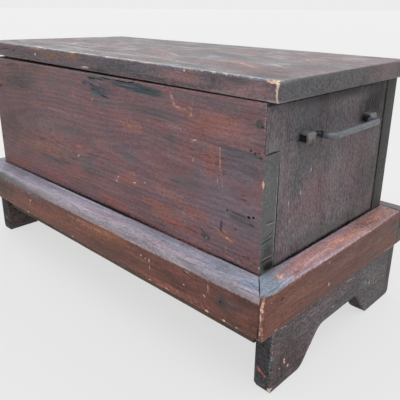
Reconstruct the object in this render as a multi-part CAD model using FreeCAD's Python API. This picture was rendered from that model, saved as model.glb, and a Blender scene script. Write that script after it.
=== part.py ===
"""Small pine blanket chest on bracketed end feet, with a plank lid and iron bail handles.

Frame: millimetres, +X to the chest's right end, -Y to its front, +Z up.
The origin is on the ground, under the middle of the chest's outline in plan.
"""
import FreeCAD, Part
import math
import os

Vector = FreeCAD.Vector

# Case
case_length = 760.0
case_depth = 374.0
front_face = -180.0
rim_height = 422.0
front_thickness = 34.0
back_thickness = 36.0
end_thickness = 30.0
seam_height = 354.0
back_seam_height = 270.0
floor_underside = 64.0
floor_thickness = 20.0
floor_setback = 2.0
floor_edge_radius = 5.0

# Base rails
rail_bottom = 110.0
rail_top = 180.0
rail_thickness = 40.0
back_rail_thickness = 26.0
rail_fall = 1.5
front_nose_radius = 8.0
end_nose_radius = 3.0
mitre_land = 7.0

# Feet
foot_thickness = 30.0
foot_inset = 4.5
foot_overrun = 7.0
arch_height = 55.0
front_toe_end = 72.0
arch_front = 122.0
arch_back = 243.0
rear_toe_start = 286.0
toe_corner_radius = 3.0
front_toe_radius = 14.0
arch_front_radius = 12.0
arch_back_radius = 3.0
rear_toe_radius = 5.0
heel_radius = 9.0
block_length = 46.0
block_width = 45.0
block_height = 20.0
block_setback = 30.0
dowel_radius = 5.0
dowel_reach = 25.0
dowel_end_distance = 20.0

# Lid
lid_thickness = 28.0
lid_end_overhang = 14.0
lid_front_setback = 3.0
lid_rise_left = 6.5
lid_rise_right = 1.0
lid_seam = 176.0
batten_width = 50.0
batten_thickness = 18.0
batten_offset = 285.0
batten_gap = 8.0

# Hinges
hinge_offset = 230.0
hinge_width = 60.0
leaf_thickness = 2.0
body_leaf_height = 36.0
lid_leaf_height = 24.0
knuckle_radius = 4.5
knuckle_count = 5
knuckle_gap = 0.3
leaf_relief = 0.5
hinge_standoff = 0.4
pin_radius = 2.0
pin_clearance = 0.05
pin_head_radius = 3.0
pin_head_height = 1.5

# Screws
screw_radius = 2.0
screw_head_radius = 4.0
screw_head_depth = 2.0
screw_length = 18.0
screw_spacing = 21.0
body_screw_drop = 21.0
lid_screw_rise = 15.0

# Handles
handle_height = 365.0
rod_radius = 5.0
journal_radius = 4.0
journal_proud = 3.0
journal_axis_offset = 7.0
grip_axis_offset = 30.4
front_leg_from_middle = 71.0
rear_leg_from_middle = 64.0
front_grip_bend = 10.0
rear_grip_bend = 6.0
front_journal_bend = 7.0
rear_journal_bend = 6.0
front_shoulder_from_middle = 85.0
rear_shoulder_from_middle = 70.5
front_staple_from_middle = 101.0
rear_staple_from_middle = 81.0
staple_width = 20.0
staple_thickness = 3.0
staple_clearance = 0.8
staple_leg_depth = 24.0
staple_bend_radius = 4.0

# Cut nails
nail_side = 2.6
nail_length = 60.0
nail_head_length = 5.5
nail_head_width = 3.6
nail_head_thickness = 1.4
nail_edge_distance = 15.0
right_case_nail_heights = (110.0, 200.0, 300.0, 394.0)
left_case_nail_heights = (110.0, 243.0, 362.0)
floor_nail_offsets = (-300.0, -100.0, 100.0, 300.0)
floor_end_nail_offset = 70.0
long_rail_nail_offsets = (-345.0, -193.0, 193.0, 345.0)
long_rail_nail_height = 145.0
back_rail_nail_length = 50.0
end_rail_nail_places = (-175.0, -50.0, 100.0)
end_rail_nail_height = 158.0
lid_nail_length = 38.0
lid_nail_edge_distance = 60.0
lid_nail_seam_distance = 40.0

# How far a cutting tool runs past what it cuts
cut_margin = 1.0

# Derived places
half_length = case_length / 2
back_face = front_face + case_depth
middle_y = (front_face + back_face) / 2
floor_top = floor_underside + floor_thickness
inner_front = front_face + front_thickness
inner_back = back_face - back_thickness
end_inner = half_length - end_thickness
rail_outer_x = half_length + rail_thickness
rail_outer_front = front_face - rail_thickness
rail_outer_back = back_face + back_rail_thickness
foot_outer_x = rail_outer_x - foot_inset
foot_inner_x = foot_outer_x - foot_thickness
lid_front = front_face + lid_front_setback
lid_end = half_length + lid_end_overhang
hinge_axis_y = back_face + knuckle_radius + hinge_standoff
journal_axis_x = half_length + journal_axis_offset
grip_axis_x = half_length + grip_axis_offset


# ---------------------------------------------------------------- shapes
def block(x0, x1, y0, y1, z0, z1):
    """A box given by its two limits along each axis."""
    return Part.makeBox(x1 - x0, y1 - y0, z1 - z0, Vector(x0, y0, z0))


def rod(radius, start, end):
    """A round bar between two points."""
    along = end - start
    return Part.makeCylinder(radius, along.Length, start, along)


def outline(corners):
    """A closed wire through (point, radius) corners, each rounded by its radius."""
    starts = []
    arcs = []
    count = len(corners)
    for index, (point, radius) in enumerate(corners):
        before = (corners[index - 1][0] - point).normalize()
        after = (corners[(index + 1) % count][0] - point).normalize()
        if radius == 0:
            starts.append((point, point))
            arcs.append(None)
            continue
        half_angle = before.getAngle(after) / 2
        tangent = radius / math.tan(half_angle)
        bisector = (before + after).normalize()
        centre = point + bisector * (radius / math.sin(half_angle))
        start = point + before * tangent
        end = point + after * tangent
        middle = centre - bisector * radius
        starts.append((start, end))
        arcs.append(Part.Arc(start, middle, end).toShape())
    edges = []
    for index in range(count):
        if arcs[index] is not None:
            edges.append(arcs[index])
        leave = starts[index][1]
        arrive = starts[(index + 1) % count][0]
        edges.append(Part.makeLine(leave, arrive))
    return Part.Wire(edges)


def prism(corners, direction):
    """A solid made by pushing a rounded outline along a direction."""
    return Part.Face(outline(corners)).extrude(direction)


def mirrored(shape):
    """The same shape at the other end of the chest."""
    return shape.mirror(Vector(0, 0, 0), Vector(1, 0, 0))


def without(shape, *tools):
    """The shape with the room for other pieces cut out of it."""
    return shape.cut(list(tools))


def group(solids):
    """Several loose solids of one kind, kept in one node."""
    return Part.makeCompound(solids)


# ---------------------------------------------------------------- fasteners
def cut_nail(head, direction, across, length):
    """A cut nail whose flat head lies flush at a point and whose shank runs along a direction."""
    along = Vector(direction).normalize()
    wide = Vector(across).normalize()
    thick = along.cross(wide)

    def bar(span, width, start, reach):
        corner = head - wide * (span / 2) - thick * (width / 2) + along * start
        points = [corner, corner + wide * span, corner + wide * span + thick * width, corner + thick * width]
        return prism([(point, 0) for point in points], along * reach)

    top = bar(nail_head_length, nail_head_width, 0, nail_head_thickness)
    shank = bar(nail_side, nail_side, 0, length)
    return top.fuse(shank).removeSplitter()


def wood_screw(head, direction):
    """A countersunk screw whose head lies flush at a point."""
    along = Vector(direction).normalize()
    top = Part.makeCone(screw_head_radius, screw_radius, screw_head_depth, head, along)
    shank = rod(screw_radius, head + along * screw_head_depth, head + along * screw_length)
    return top.fuse(shank).removeSplitter()


def case_nail_set():
    """Nails through the front and back boards into the edges of the end boards."""
    nails = []
    for side, heights in ((-1, left_case_nail_heights), (1, right_case_nail_heights)):
        x = side * (half_length - nail_edge_distance)
        for z in heights:
            nails.append(cut_nail(Vector(x, front_face, z), (0, 1, 0), (1, 0, 0), nail_length))
            nails.append(cut_nail(Vector(x, back_face, z), (0, -1, 0), (1, 0, 0), nail_length))
    return nails


def floor_nail_set():
    """Nails up through the floor boards into the walls of the case."""
    nails = []
    front_line = front_face + front_thickness / 2
    back_line = back_face - back_thickness / 2
    for x in floor_nail_offsets:
        for y in (front_line, back_line):
            nails.append(cut_nail(Vector(x, y, floor_underside), (0, 0, 1), (1, 0, 0), nail_length))
    for side in (-1, 1):
        for y in (middle_y - floor_end_nail_offset, middle_y + floor_end_nail_offset):
            head = Vector(side * (half_length - nail_edge_distance), y, floor_underside)
            nails.append(cut_nail(head, (0, 0, 1), (0, 1, 0), nail_length))
    return nails


def rail_nail_set():
    """Nails through the base rails into the case, clear of the case's own nails."""
    nails = []
    for x in long_rail_nail_offsets:
        front_head = Vector(x, rail_outer_front, long_rail_nail_height)
        back_head = Vector(x, rail_outer_back, long_rail_nail_height)
        nails.append(cut_nail(front_head, (0, 1, 0), (1, 0, 0), nail_length))
        nails.append(cut_nail(back_head, (0, -1, 0), (1, 0, 0), back_rail_nail_length))
    for side in (-1, 1):
        for y in end_rail_nail_places:
            head = Vector(side * rail_outer_x, y, end_rail_nail_height)
            nails.append(cut_nail(head, (-side, 0, 0), (0, 1, 0), nail_length))
    return nails


# ---------------------------------------------------------------- case
def front_board(z0, z1, mitred):
    """A front board, lapped over the end boards or mitred with them."""
    if not mitred:
        return block(-half_length, half_length, front_face, inner_front, z0, z1)
    plan = [
        Vector(-half_length, front_face, z0),
        Vector(half_length, front_face, z0),
        Vector(end_inner, inner_front, z0),
        Vector(-end_inner, inner_front, z0),
    ]
    return prism([(point, 0) for point in plan], Vector(0, 0, z1 - z0))


def end_board():
    """The right end board: under the front seam it stops at the front board, above it is mitred."""
    lower = block(end_inner, half_length, inner_front, inner_back, floor_top, seam_height)
    plan = [
        Vector(half_length, front_face, seam_height),
        Vector(half_length, inner_back, seam_height),
        Vector(end_inner, inner_back, seam_height),
        Vector(end_inner, inner_front, seam_height),
    ]
    upper = prism([(point, 0) for point in plan], Vector(0, 0, rim_height - seam_height))
    return lower.fuse(upper).removeSplitter()


def floor_board(y0, y1):
    """One of the two boards nailed under the case, with the lower arris of each end rounded."""
    reach = half_length - floor_setback
    corners = [
        (Vector(-reach, y0, floor_top), 0),
        (Vector(-reach, y0, floor_underside), floor_edge_radius),
        (Vector(reach, y0, floor_underside), floor_edge_radius),
        (Vector(reach, y0, floor_top), 0),
    ]
    return prism(corners, Vector(0, y1 - y0, 0))


# ---------------------------------------------------------------- base
def rail_section(y_outer, y_inner, nose):
    """A prism along X with a rail's cross-section: a ledge that falls outwards and a rounded nose."""
    reach = rail_outer_x + cut_margin
    return prism(
        [
            (Vector(-reach, y_outer, rail_bottom), 0),
            (Vector(-reach, y_inner, rail_bottom), 0),
            (Vector(-reach, y_inner, rail_top), 0),
            (Vector(-reach, y_outer, rail_top - rail_fall), nose),
        ],
        Vector(2 * reach, 0, 0),
    )


def plan_prism(points):
    """The room between the rail's bottom and top over an outline in plan."""
    corners = [(Vector(x, y, rail_bottom), 0) for x, y in points]
    return prism(corners, Vector(0, 0, rail_top - rail_bottom))


def front_rail():
    """The front base rail, mitred at both ends a little inside the corner."""
    mitre_x = rail_outer_x - mitre_land
    plan = plan_prism([
        (-mitre_x, rail_outer_front),
        (mitre_x, rail_outer_front),
        (half_length, front_face),
        (-half_length, front_face),
    ])
    return plan.common(rail_section(rail_outer_front, front_face, front_nose_radius))


def back_rail():
    """The back base rail, lapped over the ends of the end rails."""
    plan = plan_prism([
        (-rail_outer_x, back_face),
        (rail_outer_x, back_face),
        (rail_outer_x, rail_outer_back),
        (-rail_outer_x, rail_outer_back),
    ])
    return plan.common(rail_section(rail_outer_back, back_face, end_nose_radius))


def end_rail():
    """The right base rail, from the front mitre to the back rail."""
    mitre_x = rail_outer_x - mitre_land
    plan = plan_prism([
        (half_length, front_face),
        (mitre_x, rail_outer_front),
        (rail_outer_x, rail_outer_front),
        (rail_outer_x, back_face),
        (half_length, back_face),
    ])
    run = rail_outer_back - rail_outer_front
    section = prism(
        [
            (Vector(rail_outer_x, rail_outer_front, rail_bottom), 0),
            (Vector(half_length, rail_outer_front, rail_bottom), 0),
            (Vector(half_length, rail_outer_front, rail_top), 0),
            (Vector(rail_outer_x, rail_outer_front, rail_top - rail_fall), end_nose_radius),
        ],
        Vector(0, run, 0),
    )
    return plan.common(section)


def foot_board():
    """The right foot board: two toes with a sawn arch between them, under the end rail."""
    front = front_face - foot_overrun
    back = back_face + foot_overrun
    corners = [
        (front, rail_bottom, 0),
        (front, 0, toe_corner_radius),
        (front_face + front_toe_end, 0, front_toe_radius),
        (front_face + arch_front, arch_height, arch_front_radius),
        (front_face + arch_back, arch_height, arch_back_radius),
        (front_face + rear_toe_start, 0, rear_toe_radius),
        (back, 0, heel_radius),
        (back, rail_bottom, 0),
    ]
    points = [(Vector(foot_inner_x, y, z), radius) for y, z, radius in corners]
    return prism(points, Vector(foot_thickness, 0, 0))


def foot_blocks():
    """The two glue blocks in the corners between the right foot and the floor of the case."""
    x0 = foot_inner_x - block_width
    z0 = floor_underside - block_height
    blocks = []
    for y0 in (front_face + block_setback, back_face - block_setback - block_length):
        blocks.append(block(x0, foot_inner_x, y0, y0 + block_length, z0, floor_underside))
    return blocks


def foot_dowels():
    """The three dowels that join the right foot to its rail."""
    x = (foot_inner_x + foot_outer_x) / 2
    dowels = []
    for y in (front_face + dowel_end_distance, middle_y, back_face - dowel_end_distance):
        start = Vector(x, y, rail_bottom - dowel_reach)
        end = Vector(x, y, rail_bottom + dowel_reach)
        dowels.append(rod(dowel_radius, start, end))
    return dowels


# ---------------------------------------------------------------- lid
def lid_height(x, y):
    """Height of the lid's underside, which has warped: it lifts towards the front left corner."""
    across = (x + lid_end) / (2 * lid_end)
    rise = lid_rise_left + (lid_rise_right - lid_rise_left) * across
    return rim_height + rise * (back_face - y) / (back_face - lid_front)


def warped_plank(x0, x1, y0, y1, drop, thickness):
    """A plank that follows the warp of the lid, its underside a distance under the lid's."""
    ends = []
    for x in (x0, x1):
        low_front = Vector(x, y0, lid_height(x, y0) - drop)
        low_back = Vector(x, y1, lid_height(x, y1) - drop)
        rise = Vector(0, 0, thickness)
        points = [low_front, low_back, low_back + rise, low_front + rise]
        ends.append(Part.makePolygon(points + points[:1]))
    return Part.makeLoft(ends, True, True)


def batten_nails():
    """Nails up through both battens into the planks, four to a batten."""
    seam = front_face + lid_seam
    front_pair = (lid_front + lid_nail_edge_distance, seam - lid_nail_seam_distance)
    rear_pair = (seam + lid_nail_seam_distance, back_face - lid_nail_edge_distance)
    nails = []
    for x in (-batten_offset, batten_offset):
        for y in front_pair + rear_pair:
            head = Vector(x, y, lid_height(x, y) - batten_thickness)
            nails.append(cut_nail(head, (0, 0, 1), (0, 1, 0), lid_nail_length))
    return nails


# ---------------------------------------------------------------- hinges
def knuckle_span(middle_x, index):
    """Limits along X of one knuckle."""
    pitch = hinge_width / knuckle_count
    start = middle_x - hinge_width / 2 + index * pitch
    return start + knuckle_gap / 2, start + pitch - knuckle_gap / 2


def hinge_leaf(middle_x, upward, knuckles):
    """A flat leaf on the back of the chest with its share of the knuckles rolled at its edge."""
    side = 1 if upward else -1
    height = lid_leaf_height if upward else body_leaf_height
    near = rim_height + side * (knuckle_radius + leaf_relief)
    far = rim_height + side * height
    x0 = middle_x - hinge_width / 2
    leaf = block(x0, x0 + hinge_width, back_face, back_face + leaf_thickness, min(near, far), max(near, far))
    for index in knuckles:
        k0, k1 = knuckle_span(middle_x, index)
        tab_low = min(near, rim_height)
        tab_high = max(near, rim_height)
        tab_y = back_face + hinge_standoff
        tab = block(k0, k1, tab_y, back_face + leaf_thickness, tab_low, tab_high)
        start = Vector(k0, hinge_axis_y, rim_height)
        end = Vector(k1, hinge_axis_y, rim_height)
        leaf = leaf.fuse([tab, rod(knuckle_radius, start, end)])
    bore_start = Vector(x0 - cut_margin, hinge_axis_y, rim_height)
    bore_end = Vector(x0 + hinge_width + cut_margin, hinge_axis_y, rim_height)
    return leaf.cut(rod(pin_radius + pin_clearance, bore_start, bore_end)).removeSplitter()


def hinge_pin(middle_x):
    """A hinge's pin, with a small head at each end."""
    x0 = middle_x - hinge_width / 2
    x1 = middle_x + hinge_width / 2
    shank = rod(pin_radius, Vector(x0, hinge_axis_y, rim_height), Vector(x1, hinge_axis_y, rim_height))
    heads = []
    for x, outward in ((x0, -1), (x1, 1)):
        start = Vector(x, hinge_axis_y, rim_height)
        heads.append(rod(pin_head_radius, start, start + Vector(outward * pin_head_height, 0, 0)))
    return shank.fuse(heads).removeSplitter()


def hinge_screws(z):
    """Three screws in each hinge's leaf at a height, driven into the wood behind it."""
    screws = []
    for middle_x in (-hinge_offset, hinge_offset):
        for step in (-1, 0, 1):
            head = Vector(middle_x + step * screw_spacing, back_face + leaf_thickness, z)
            screws.append(wood_screw(head, (0, -1, 0)))
    return screws


# ---------------------------------------------------------------- handles
def bail():
    """The right handle: one iron rod bent to a bail, its ends turned outwards and drawn down.

    It has slid back in its staples, so its rear leg stands close against the rear staple.
    """
    z = handle_height

    def turn(x_sign, y_sign, corner_x, corner_y, radius):
        """Start, middle and end of a quarter bend at a corner, from its far side along Y."""
        along_y = Vector(corner_x, corner_y + y_sign * radius, z)
        along_x = Vector(corner_x + x_sign * radius, corner_y, z)
        centre = Vector(corner_x + x_sign * radius, corner_y + y_sign * radius, z)
        diagonal = (Vector(corner_x, corner_y, z) - centre).normalize()
        return along_y, centre + diagonal * radius, along_x

    low = middle_y - front_leg_from_middle
    high = middle_y + rear_leg_from_middle
    shoulder_low = Vector(journal_axis_x, middle_y - front_shoulder_from_middle, z)
    shoulder_high = Vector(journal_axis_x, middle_y + rear_shoulder_from_middle, z)
    first = turn(1, -1, journal_axis_x, low, front_journal_bend)
    second = turn(-1, 1, grip_axis_x, low, front_grip_bend)[::-1]
    third = turn(-1, -1, grip_axis_x, high, rear_grip_bend)
    fourth = turn(1, 1, journal_axis_x, high, rear_journal_bend)[::-1]
    edges = [Part.makeLine(shoulder_low, first[0])]
    bends = [first, second, third, fourth]
    for index, bend in enumerate(bends):
        edges.append(Part.Arc(*bend).toShape())
        leave = bend[2]
        arrive = bends[index + 1][0] if index < 3 else shoulder_high
        edges.append(Part.makeLine(leave, arrive))
    path = Part.Wire(edges)
    section = Part.Wire(Part.makeCircle(rod_radius, shoulder_low, Vector(0, 1, 0)))
    bar = path.makePipeShell([section], True, True)
    past_staple = staple_width / 2 + journal_proud
    low_tip = Vector(journal_axis_x, middle_y - front_staple_from_middle - past_staple, z)
    high_tip = Vector(journal_axis_x, middle_y + rear_staple_from_middle + past_staple, z)
    ends = [rod(journal_radius, shoulder_low, low_tip), rod(journal_radius, shoulder_high, high_tip)]
    return bar.fuse(ends).removeSplitter()


def staple(middle):
    """A flat iron staple over one end of the right handle, its two legs driven into the end board."""
    inner_half = journal_radius + staple_clearance
    outer_half = inner_half + staple_thickness
    crown_inner = journal_axis_x + inner_half
    crown_outer = crown_inner + staple_thickness
    root = half_length - staple_leg_depth
    y = middle - staple_width / 2
    z = handle_height
    corners = [
        (Vector(root, y, z - outer_half), 0),
        (Vector(crown_outer, y, z - outer_half), staple_bend_radius),
        (Vector(crown_outer, y, z + outer_half), staple_bend_radius),
        (Vector(root, y, z + outer_half), 0),
        (Vector(root, y, z + inner_half), 0),
        (Vector(crown_inner, y, z + inner_half), staple_bend_radius - staple_thickness),
        (Vector(crown_inner, y, z - inner_half), staple_bend_radius - staple_thickness),
        (Vector(root, y, z - inner_half), 0),
    ]
    return prism(corners, Vector(0, staple_width, 0))


# ---------------------------------------------------------------- assembly
def build():
    """Every piece of the chest, by node name."""
    case_nails = case_nail_set()
    floor_nails = floor_nail_set()
    rail_nails = rail_nail_set()
    lid_nails = batten_nails()
    body_screws = hinge_screws(rim_height - body_screw_drop)
    lid_screws = hinge_screws(rim_height + lid_screw_rise)
    right_dowels = foot_dowels()
    left_dowels = [mirrored(dowel) for dowel in right_dowels]
    front_staple = staple(middle_y - front_staple_from_middle)
    rear_staple = staple(middle_y + rear_staple_from_middle)
    staples = [front_staple, rear_staple]
    staples += [mirrored(piece) for piece in staples]
    sunk_in_case = case_nails + floor_nails + rail_nails + body_screws + staples

    nodes = {}
    nodes["front_lower_board"] = without(front_board(floor_top, seam_height, False), *sunk_in_case)
    nodes["front_upper_board"] = without(front_board(seam_height, rim_height, True), *sunk_in_case)
    back_lower = block(-half_length, half_length, inner_back, back_face, floor_top, back_seam_height)
    back_upper = block(-half_length, half_length, inner_back, back_face, back_seam_height, rim_height)
    nodes["back_lower_board"] = without(back_lower, *sunk_in_case)
    nodes["back_upper_board"] = without(back_upper, *sunk_in_case)
    nodes["right_end_board"] = without(end_board(), *sunk_in_case)
    nodes["left_end_board"] = without(mirrored(end_board()), *sunk_in_case)
    nodes["floor_front_board"] = without(floor_board(front_face, middle_y), *floor_nails)
    nodes["floor_back_board"] = without(floor_board(middle_y, back_face), *floor_nails)
    nodes["case_nails"] = group(case_nails)
    nodes["floor_nails"] = group(floor_nails)

    nodes["front_base_rail"] = without(front_rail(), *rail_nails)
    nodes["back_base_rail"] = without(back_rail(), *rail_nails)
    nodes["right_base_rail"] = without(end_rail(), *rail_nails, *right_dowels)
    nodes["left_base_rail"] = without(mirrored(end_rail()), *rail_nails, *left_dowels)
    nodes["base_rail_nails"] = group(rail_nails)
    nodes["right_foot_board"] = without(foot_board(), *right_dowels)
    nodes["left_foot_board"] = without(mirrored(foot_board()), *left_dowels)
    nodes["right_foot_blocks"] = group(foot_blocks())
    nodes["left_foot_blocks"] = group([mirrored(piece) for piece in foot_blocks()])
    nodes["right_foot_dowels"] = group(right_dowels)
    nodes["left_foot_dowels"] = group(left_dowels)

    seam = front_face + lid_seam
    front_plank = warped_plank(-lid_end, lid_end, lid_front, seam, 0, lid_thickness)
    rear_plank = warped_plank(-lid_end, lid_end, seam, back_face, 0, lid_thickness)
    nodes["lid_front_plank"] = without(front_plank, *lid_nails)
    nodes["lid_rear_plank"] = without(rear_plank, *lid_nails, *lid_screws)
    batten_front = inner_front + batten_gap
    batten_back = inner_back - batten_gap
    for name, x in (("lid_left_batten", -batten_offset), ("lid_right_batten", batten_offset)):
        x0 = x - batten_width / 2
        x1 = x + batten_width / 2
        batten = warped_plank(x0, x1, batten_front, batten_back, batten_thickness, batten_thickness)
        nodes[name] = without(batten, *lid_nails, front_plank, rear_plank)
    nodes["lid_batten_nails"] = group(lid_nails)

    for name, middle_x in (("left", -hinge_offset), ("right", hinge_offset)):
        nodes[name + "_hinge_body_leaf"] = without(hinge_leaf(middle_x, False, (0, 2, 4)), *body_screws)
        nodes[name + "_hinge_lid_leaf"] = without(hinge_leaf(middle_x, True, (1, 3)), *lid_screws)
        nodes[name + "_hinge_pin"] = hinge_pin(middle_x)
    nodes["hinge_body_screws"] = group(body_screws)
    nodes["hinge_lid_screws"] = group(lid_screws)

    nodes["right_handle_bail"] = bail()
    nodes["left_handle_bail"] = mirrored(bail())
    nodes["right_handle_front_staple"] = front_staple
    nodes["right_handle_rear_staple"] = rear_staple
    nodes["left_handle_front_staple"] = mirrored(front_staple)
    nodes["left_handle_rear_staple"] = mirrored(rear_staple)
    return nodes


os.makedirs("parts", exist_ok=True)
for node, shape in build().items():
    shape.exportStep("parts/" + node + ".step")
    print(node, len(shape.Solids), round(shape.Volume / 1000.0, 2), shape.isValid())
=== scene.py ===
"""Looks of a small painted pine blanket chest, piece by piece in the order in which it is put together."""
import math
import bmesh
import bpy
from mathutils import Matrix, Vector


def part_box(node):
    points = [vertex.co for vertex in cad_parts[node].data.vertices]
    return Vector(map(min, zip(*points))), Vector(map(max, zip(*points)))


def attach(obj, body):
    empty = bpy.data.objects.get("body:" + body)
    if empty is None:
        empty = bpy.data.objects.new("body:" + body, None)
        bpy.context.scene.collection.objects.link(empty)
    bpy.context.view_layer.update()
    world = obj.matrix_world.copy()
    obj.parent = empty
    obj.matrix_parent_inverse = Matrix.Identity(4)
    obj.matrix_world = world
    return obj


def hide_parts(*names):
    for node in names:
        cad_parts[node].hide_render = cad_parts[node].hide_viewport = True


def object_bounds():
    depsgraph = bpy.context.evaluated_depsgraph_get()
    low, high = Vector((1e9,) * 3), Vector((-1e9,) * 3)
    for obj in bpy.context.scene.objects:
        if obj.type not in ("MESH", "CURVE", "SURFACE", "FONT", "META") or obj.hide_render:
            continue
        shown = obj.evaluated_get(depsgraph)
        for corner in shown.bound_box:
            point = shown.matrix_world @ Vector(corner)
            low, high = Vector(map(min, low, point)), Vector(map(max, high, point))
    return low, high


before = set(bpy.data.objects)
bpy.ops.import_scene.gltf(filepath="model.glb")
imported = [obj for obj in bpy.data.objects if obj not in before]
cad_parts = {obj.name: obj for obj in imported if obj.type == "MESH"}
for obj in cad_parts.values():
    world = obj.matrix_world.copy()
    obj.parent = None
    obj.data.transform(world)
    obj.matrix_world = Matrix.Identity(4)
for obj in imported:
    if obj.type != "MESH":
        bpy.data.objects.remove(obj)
cad_low, cad_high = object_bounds()

# ---------------------------------------------------------------- end boards
# Each end is one pine board, 30 mm thick with its grain upright, nailed between the front and the back.
# It stands behind the end of the lower front board, and its top runs forward into a mitre.
# The old brown paint on it has gone grey, and the knots and splits show through.
mm = 0.001
arris_angle = math.radians(25)
smooth_angle = math.radians(32)
front_thickness = 34 * mm
seam_height = 354 * mm
case_low, case_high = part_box("front_lower_board")
rim_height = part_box("front_upper_board")[1].z
half_length = case_high.x
front_face = case_low.y
back_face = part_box("back_lower_board")[1].y
rear_gap = 2.0 * mm
end_thickness = 30 * mm
back_thickness = 36 * mm
floor_top = 84 * mm
rim_margin = 1.5 * mm
corner_cut = 0.8 * mm
case_box = (case_low, Vector((half_length, back_face, rim_height)))


def choose(piece, kind, wanted):
    """Selects, in edit mode, only the vertices, edges or faces that a test picks out."""
    bpy.ops.mesh.select_mode(type=kind)
    bpy.ops.mesh.select_all(action="DESELECT")
    form = bmesh.from_edit_mesh(piece.data)
    for part in {"VERT": form.verts, "EDGE": form.edges, "FACE": form.faces}[kind]:
        if wanted(part):
            part.select_set(True)
    bmesh.update_edit_mesh(piece.data)


def edit(piece):
    """Opens a piece, and only that piece, for shaping."""
    bpy.ops.object.select_all(action="DESELECT")
    bpy.context.view_layer.objects.active = piece
    piece.select_set(True)
    bpy.ops.object.mode_set(mode="EDIT")


def leave():
    """Closes the piece that is being shaped."""
    bpy.ops.object.mode_set(mode="OBJECT")


def sawn_board(name, low, high):
    """A board sawn square to its box, at its place in the chest."""
    bpy.ops.object.select_all(action="DESELECT")
    bpy.ops.mesh.primitive_cube_add(size=1, location=(low + high) / 2, scale=high - low)
    board = bpy.context.object
    board.name = name
    board.data.name = name
    bpy.ops.object.transform_apply(location=True, rotation=True, scale=True)
    return board


def cut_off(board, through, away):
    """Saws a board along a plane and takes away the off-cut on one side."""
    edit(board)
    bpy.ops.mesh.select_all(action="SELECT")
    bpy.ops.mesh.bisect(plane_co=through, plane_no=away, use_fill=True, clear_outer=True)
    leave()


def none(edge):
    """No arris is left sharp."""
    return False


def ease_arrises(board, width, steps=2, sharp=none):
    """Rounds every arris a little, as a plane and long use leave it, but for those left sharp at a joint."""
    edit(board)
    choose(board, "EDGE", lambda edge: edge.calc_face_angle(0) > arris_angle and not sharp(edge))
    bpy.ops.mesh.bevel(offset=width, segments=steps, affect="EDGES", clamp_overlap=True)
    leave()


def divide(board, cell):
    """Halves the long edges along each axis until they are about a cell long, for wear to act on."""
    longest = 1.5 * cell
    straight = 0.97
    most_halvings = 9
    edit(board)
    for axis in range(3):
        for halving in range(most_halvings):
            def too_long(edge):
                run = edge.verts[1].co - edge.verts[0].co
                return run.length > longest and abs(run[axis]) > straight * run.length
            choose(board, "EDGE", too_long)
            if not any(edge.select for edge in bmesh.from_edit_mesh(board.data).edges):
                break
            bpy.ops.mesh.subdivide(number_cuts=1)
    leave()


def rub_down(board, hollow, chip, sharp=none):
    """Wears a board: shallow hollows over its faces, and small chips out of its arrises."""
    edit(board)
    bpy.ops.mesh.select_all(action="SELECT")
    bpy.ops.mesh.remove_doubles(threshold=0.08 * mm)
    bpy.ops.mesh.normals_make_consistent(inside=False)
    choose(board, "EDGE", lambda edge: edge.calc_face_angle(0) > arris_angle / 3 and not sharp(edge))
    leave()
    worn = [vertex.index for vertex in board.data.vertices if vertex.select]
    board.vertex_groups.new(name="arrises").add(worn, 1, "ADD")
    for part, size, depth, contrast, brightness, chosen in (
        ("hollows", 70 * mm, hollow, 1, 1, ""),
        ("chips", 18 * mm, chip, 4, 2.0, "arrises"),
    ):
        cloud = bpy.data.textures.new(board.name + "_" + part, "CLOUDS")
        cloud.noise_scale = size
        cloud.contrast = contrast
        cloud.intensity = brightness
        cloud.use_clamp = True
        wear = board.modifiers.new(part, "DISPLACE")
        wear.texture = cloud
        wear.texture_coords = "LOCAL"
        wear.mid_level = 1
        wear.strength = depth
        wear.vertex_group = chosen
        bpy.ops.object.modifier_apply(modifier=part)
    board.vertex_groups.clear()
    bpy.ops.object.shade_smooth_by_angle(angle=smooth_angle)


def put(tree, kind, sockets, **settings):
    """Adds a shader node; each named socket gets a value, a colour or another node's output."""
    node = tree.nodes.new("ShaderNode" + kind)
    for setting, value in settings.items():
        setattr(node, setting, value)
    for socket, value in sockets.items():
        if isinstance(value, bpy.types.NodeSocket):
            tree.links.new(value, node.inputs[socket])
        elif node.inputs[socket].type == "RGBA":
            node.inputs[socket].default_value = (*value, 1)
        else:
            node.inputs[socket].default_value = value
    return node


def effect(name, takes, gives):
    """A new shader group with named inputs and outputs, and the two ends of it."""
    tree = bpy.data.node_groups.new(name, "ShaderNodeTree")
    for socket, kind in takes.items():
        tree.interface.new_socket(socket, in_out="INPUT", socket_type="NodeSocket" + kind)
    for socket, kind in gives.items():
        tree.interface.new_socket(socket, in_out="OUTPUT", socket_type="NodeSocket" + kind)
    return tree, tree.nodes.new("NodeGroupInput").outputs, tree.nodes.new("NodeGroupOutput").inputs


def reckon(tree, operation, first, second=0.0):
    """The result of a sum on two values."""
    return put(tree, "Math", {0: first, 1: second}, operation=operation).outputs[0]


def vector_sum(tree, operation, first, second):
    """The result of a sum on two vectors."""
    return put(tree, "VectorMath", {0: first, 1: second}, operation=operation).outputs[0]


def ramp(tree, value, start, end, low=0.0, high=1.0):
    """A soft step of a value, from low at start to high at end."""
    sockets = {"Value": value, "From Min": start, "From Max": end, "To Min": low, "To Max": high}
    return put(tree, "MapRange", sockets, interpolation_type="SMOOTHSTEP").outputs[0]


def lay(tree, amount, under, over):
    """Lays one colour over another by an amount from 0 to 1."""
    return put(tree, "Mix", {0: amount, 6: under, 7: over}, data_type="RGBA").outputs[2]


def outside_box(tree, point, middle, half_size):
    """How far a point lies beyond a box along each axis, which is less than nothing inside it."""
    away = vector_sum(tree, "SUBTRACT", point, middle)
    away = put(tree, "VectorMath", {0: away}, operation="ABSOLUTE").outputs[0]
    return put(tree, "SeparateXYZ", {0: vector_sum(tree, "SUBTRACT", away, half_size)}).outputs


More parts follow.
